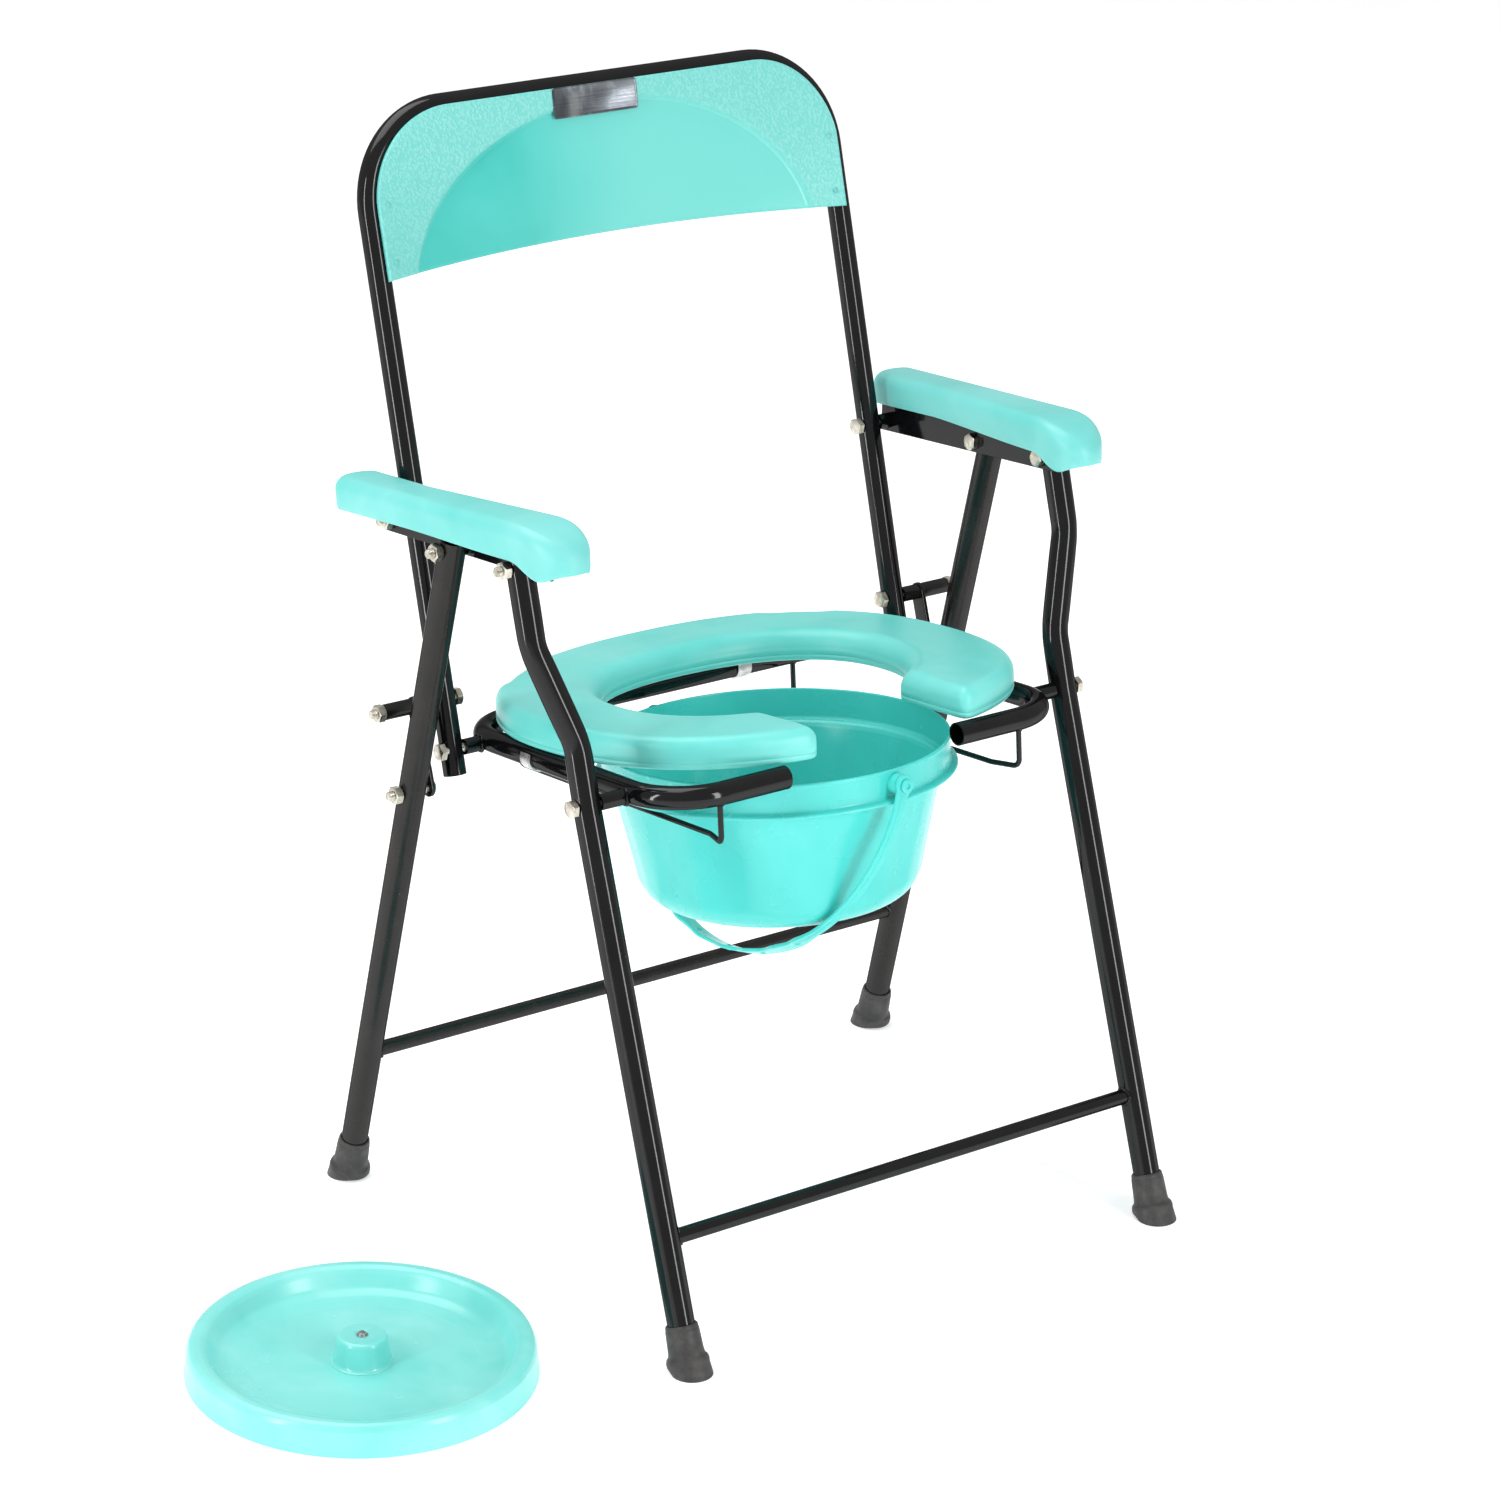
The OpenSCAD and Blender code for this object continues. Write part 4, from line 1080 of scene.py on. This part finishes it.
def arc(cx, cy, r, a0, a1, n):
    turns = [math.radians(a0 + (a1 - a0) * k / n) for k in range(n + 1)]
    return [(cx + r * math.cos(a), cy + r * math.sin(a)) for a in turns]


base, shelf, r = -BUCKET_H, -COLLAR, RIM - WALL_T
outer = [(0, base + 2.0), (78, base + 2.0), (80, base + 0.3), (82, base)]
outer += arc(88, 30 + base, 30, -88, -8, 14)
outer += [(122.5, -86), (128.0, -62), (132.4, -43), (135.2, shelf - 3), (136.4, shelf - 0.8), (137.4, shelf)]
outer += [(LIP - 0.9, shelf), (LIP, shelf + 0.8), (LIP, shelf + 2.0), (LIP - 0.9, shelf + 2.8)]
outer += [(RIM - 0.4, shelf + 3.8), (RIM - 0.8, shelf + 5), (RIM - 0.2, -3.4), (RIM + 0.2, -2.6)]
outer += [(RIM + 0.25, -1.0), (RIM - 0.5, -0.1), (r + 0.4, 0), (r, -0.9)]
inner = [(r - 0.7, shelf + 3), (r - 1.8, shelf + 1.2), (135.6, shelf + 0.8), (133.9, shelf - 1.0)]
inner += [(132.6, shelf - 4), (129.8, -45), (125.6, -63), (120.2, -86)]
inner += arc(88, 30 + base, 27.8, -8, -88, 14)
inner += [(82, base + WALL_T), (80, base + WALL_T + 0.3), (78, base + WALL_T + 1.8), (0, base + WALL_T + 2.0)]
profile = [(p[0], p[1]) for p in fillet(outer + inner, 1.2, 3)]
shape = Shape().add(lathe(profile, 224, body_ripple))
build("bucket_moulded", shape, BUCKET, "bucket", BUCKET_MINT, ("bucket",), angle=48)

BAIL_IN, BAIL_T, BAIL_DROP, PIN_Z = 151.0, 3.6, 13.0, -12.0
BAIL_OUT = BAIL_IN + BAIL_T
pin = lathe([(0, RIM - 2.4), (8.5, RIM - 2.4), (8.5, BAIL_IN - 1.3), (7.6, BAIL_IN - 0.4),
             (4.0, BAIL_IN - 0.35), (4.0, BAIL_OUT + 0.3), (5.5, BAIL_OUT + 0.35),
             (5.5, BAIL_OUT + 1.5), (4.6, BAIL_OUT + 2.5), (2.4, BAIL_OUT + 2.6),
             (2.0, BAIL_OUT + 1.6), (0, BAIL_OUT + 1.6)], 56)
shape = Shape()
for s in SIDES:
    shape.add(pin, turn(90 * s, "Z") @ Matrix.Translation((0, 0, PIN_Z)) @ turn(90, "Y"))
build("bail_pins_moulded", shape, BUCKET, "bucket", BUCKET_MINT, ("bail_pins",), angle=36)


def bail_mesh():
    """The strap: eyes at the pins, a thin ribbed run, and a wider finger grip with scallops at the bottom."""
    n = 220
    quarter = BAIL_IN * math.pi / 2
    arc_share = quarter / (quarter + BAIL_DROP)
    rings = []
    for i in range(n + 1):
        t = i / n
        u = 1 - abs(2 * t - 1)
        # u runs from 0 at a pin to 1 at the bottom
        if u < 1 - arc_share:
            point = Vector((BAIL_IN, -BAIL_DROP * u / (1 - arc_share)))
            normal = Vector((1, 0))
        else:
            a = (u - 1 + arc_share) / arc_share * math.pi / 2
            point = Vector((BAIL_IN * math.cos(a), -BAIL_DROP - BAIL_IN * math.sin(a)))
            normal = Vector((math.cos(a), -math.sin(a)))
        if t > 0.5:
            point.x, normal.x = -point.x, -normal.x
        grip = ease((u - 0.60) / 0.10)
        half = 5.2 + 4.3 * grip + 2.0 * math.exp(-(u / 0.045) ** 2)
        from_mid = (1 - u) / arc_share * 90
        scallop = 3.0 * grip * (0.5 - 0.5 * math.cos(from_mid * TAU / 11.5)) * ease((34 - from_mid) / 6)
        top, rib = BAIL_T - 0.6, BAIL_T - 0.6 + 0.9 * (1 - grip) * 0.66
        edge, section = 0.7, []
        for y, h in ((-half, edge), (-half + edge, 0.0), (0.0, 0.0), (half - edge, 0.0), (half, edge),
                     (half, top - edge), (half - edge, top), (1.7, top), (1.1, rib),
                     (-1.1, rib), (-1.7, top), (-half + edge, top), (-half, top - edge)):
            # The scallops are cut in one edge only
            side = y + scallop if y < -2.0 else y
            q = point + normal * h
            section.append(Vector((q.x, side, q.y)))
        rings.append(section)
    return skin(rings, cap_a=True, cap_b=True)


eye_rows = [(4.05, 0.1), (8.1, 0.1), (8.9, 0.8)]
eye_rows += [(8.9, BAIL_T - 0.9), (8.1, BAIL_T - 0.1), (4.05, BAIL_T - 0.1)]
eye = skin([circle(r, z, 56) for r, z in eye_rows], loop=True)
shape = Shape().add(bail_mesh())
for s in SIDES:
    shape.add(eye, Matrix.Translation((BAIL_IN * s, 0, 0)) @ turn(90 * s, "Y"))
# Small bosses on both faces of the grip
boss = lathe([(0, -0.4), (2.0, -0.4), (2.1, 0.5), (1.6, 1.0), (0, 1.1)], 28)
for k in (-30, -15, 0, 15, 30):
    a = math.radians(k)
    for r, flip in ((BAIL_OUT - 0.7, 180), (BAIL_IN + 0.2, 0)):
        place = Matrix.Translation((r * math.sin(a), 1.5, -BAIL_DROP - r * math.cos(a)))
        shape.add(boss, place @ turn(-k, "Y") @ turn(flip, "X"))
build("bail_handle_moulded", shape, BAIL, "bail", BUCKET_MINT, ("bail_handle",), angle=40)

# ---------- lid ----------

LID_R, LID_H, LID_FLOOR = 138.0, 26.0, 5.8
# (radius, height, rounding) out along the underside, up the rim and back over the dish
TOP_FACE = LID_FLOOR + 2.6
LID_POINTS = [(0, LID_FLOOR, 0), (108, LID_FLOOR, 4), (114, LID_FLOOR + 2, 5), (121.4, LID_H - 3.2, 3),
              (124.6, LID_H - 2.2, 2), (131, LID_H - 2.2, 2), (133.2, LID_H - 4.2, 2),
              (LID_R - 2.2, 0.2, 0.2), (LID_R - 1.8, 0, 0.5), (LID_R - 0.4, 0, 0.5), (LID_R, 0.4, 0.3),
              (LID_R - 0.9, 8, 6), (LID_R - 2.2, LID_H - 5.5, 4), (LID_R - 4.2, LID_H - 1.4, 4),
              (LID_R - 8, LID_H - 0.1, 5), (125.5, LID_H, 5), (121.2, LID_H - 1.6, 5), (118.6, LID_H - 5, 6),
              (112.6, TOP_FACE + 2.8, 8), (104, TOP_FACE + 0.3, 8), (92, TOP_FACE - 0.1, 1.2),
              (89.5, TOP_FACE - 0.4, 1.2), (27, TOP_FACE - 0.4, 1), (24, TOP_FACE, 1), (0, TOP_FACE, 0)]
KNOB_POINTS = [(0, 7.4, 0), (25.0, 7.4, 0.3), (25.2, 8.8, 0.6), (23.6, 9.6, 1.2), (22.6, 11.0, 2),
               (20.0, 27.4, 3), (19.2, 30.0, 2), (17.2, 31.0, 2), (7.0, 30.7, 1), (5.4, 30.3, 0.5),
               (0, 30.3, 0)]
for name, points, n in (("lid", LID_POINTS, 256), ("lid_knob", KNOB_POINTS, 96)):
    shape = Shape().add(turned(points, 6, n))
    build(f"{name}_moulded", shape, LID, "lid", LID_MINT, (name,), angle=45)

shape = Shape()
shape.add(lathe([(0, 30.2), (4.6, 30.2), (4.7, 30.7), (4.4, 31.0), (3.4, 31.0), (3.4, 31.3), (3.2, 32.4),
                 (2.4, 33.1), (1.3, 33.1), (1.1, 32.3), (0, 32.3)], 48))
shape.add(lathe([(0, 3.6), (4.2, 3.6), (4.4, 4.4), (4.4, 6.2), (0, 6.2)], 40))
build("lid_screw_detailed", shape, LID, "lid", ZINC, ("lid_screw",))

# ---------- CAD nodes that stay ----------

KEEP = {
    "back_frame": PAINT, "rear_arm_spacers": PAINT, "stop_spacers": PAINT_DULL, "front_crossbar": PAINT,
    "rear_leg_left": PAINT_DULL, "rear_leg_right": PAINT_DULL, "rear_crossbar": PAINT_DULL,
    "rear_top_spacers": PAINT, "seat_frame": PAINT, "seat_stubs": PAINT,
    "seat_clips": ZINC, "clip_screws": ZINC,
    "pad_screws_left": ZINC, "pad_screws_right": ZINC,
}
for name, material in KEEP.items():
    obj = frame["nodes"][name]
    obj.data.materials.clear()
    obj.data.materials.append(material)
    obj.data.shade_smooth()
    obj.data.set_sharp_from_angle(angle=math.radians(30))

# ---------- floor, light ----------


def plane(name, size, z, material):
    me = bpy.data.meshes.new(name)
    corners = [(-size, -size, z), (size, -size, z), (size, size, z), (-size, size, z)]
    me.from_pydata(corners, [], [(0, 1, 2, 3)])
    me.materials.append(material)
    o = bpy.data.objects.new(name, me)
    SCENE.collection.objects.link(o)
    return o


floor_mat = Nodes("studio_floor")
tone = floor_mat.ramp(floor_mat.noise(3, 3), [(0.3, 0.92), (0.7, 0.95)])
floor_mat.link(tone, "Base Color").set(Roughness=0.55, Specular_IOR_Level=0.2)
floor_mat.shader.inputs["Emission Color"].default_value = (1, 1, 1, 1)
floor_mat.shader.inputs["Emission Strength"].default_value = 0.42
plane("floor", 14, -0.0004, floor_mat.mat)

world = bpy.data.worlds.new("studio")
SCENE.world = world
world.use_nodes = True
links, nodes = world.node_tree.links, world.node_tree.nodes
room = nodes["Background"]
room.inputs["Color"].default_value = (1, 1, 1, 1)
room.inputs["Strength"].default_value = 0.55
backdrop = nodes.new("ShaderNodeBackground")
backdrop.inputs["Color"].default_value = (1, 1, 1, 1)
backdrop.inputs["Strength"].default_value = 1.05
seen = nodes.new("ShaderNodeLightPath").outputs["Is Camera Ray"]
either = nodes.new("ShaderNodeMixShader")
links.new(seen, either.inputs[0])
links.new(room.outputs[0], either.inputs[1])
links.new(backdrop.outputs[0], either.inputs[2])
links.new(either.outputs[0], nodes["World Output"].inputs["Surface"])


def area(name, place, target, size, power):
    data = bpy.data.lights.new(name, "AREA")
    data.shape = "RECTANGLE"
    data.size, data.size_y = size
    data.energy = power
    o = bpy.data.objects.new(name, data)
    SCENE.collection.objects.link(o)
    o.location = place
    o.rotation_mode = "QUATERNION"
    o.rotation_quaternion = (Vector(target) - Vector(place)).to_track_quat("-Z", "Y")


area("strip_left", (-3.0, -0.3, 1.3), (MID_X, 0, 0.5), (0.30, 2.6), 42)
area("strip_front", (0.75, -3.2, 1.4), (MID_X, 0, 0.5), (0.55, 2.4), 50)
area("overhead", (-0.3, 0.9, 3.0), (MID_X, 0, 0.45), (2.2, 2.2), 52)

SCENE.view_settings.view_transform = "Standard"
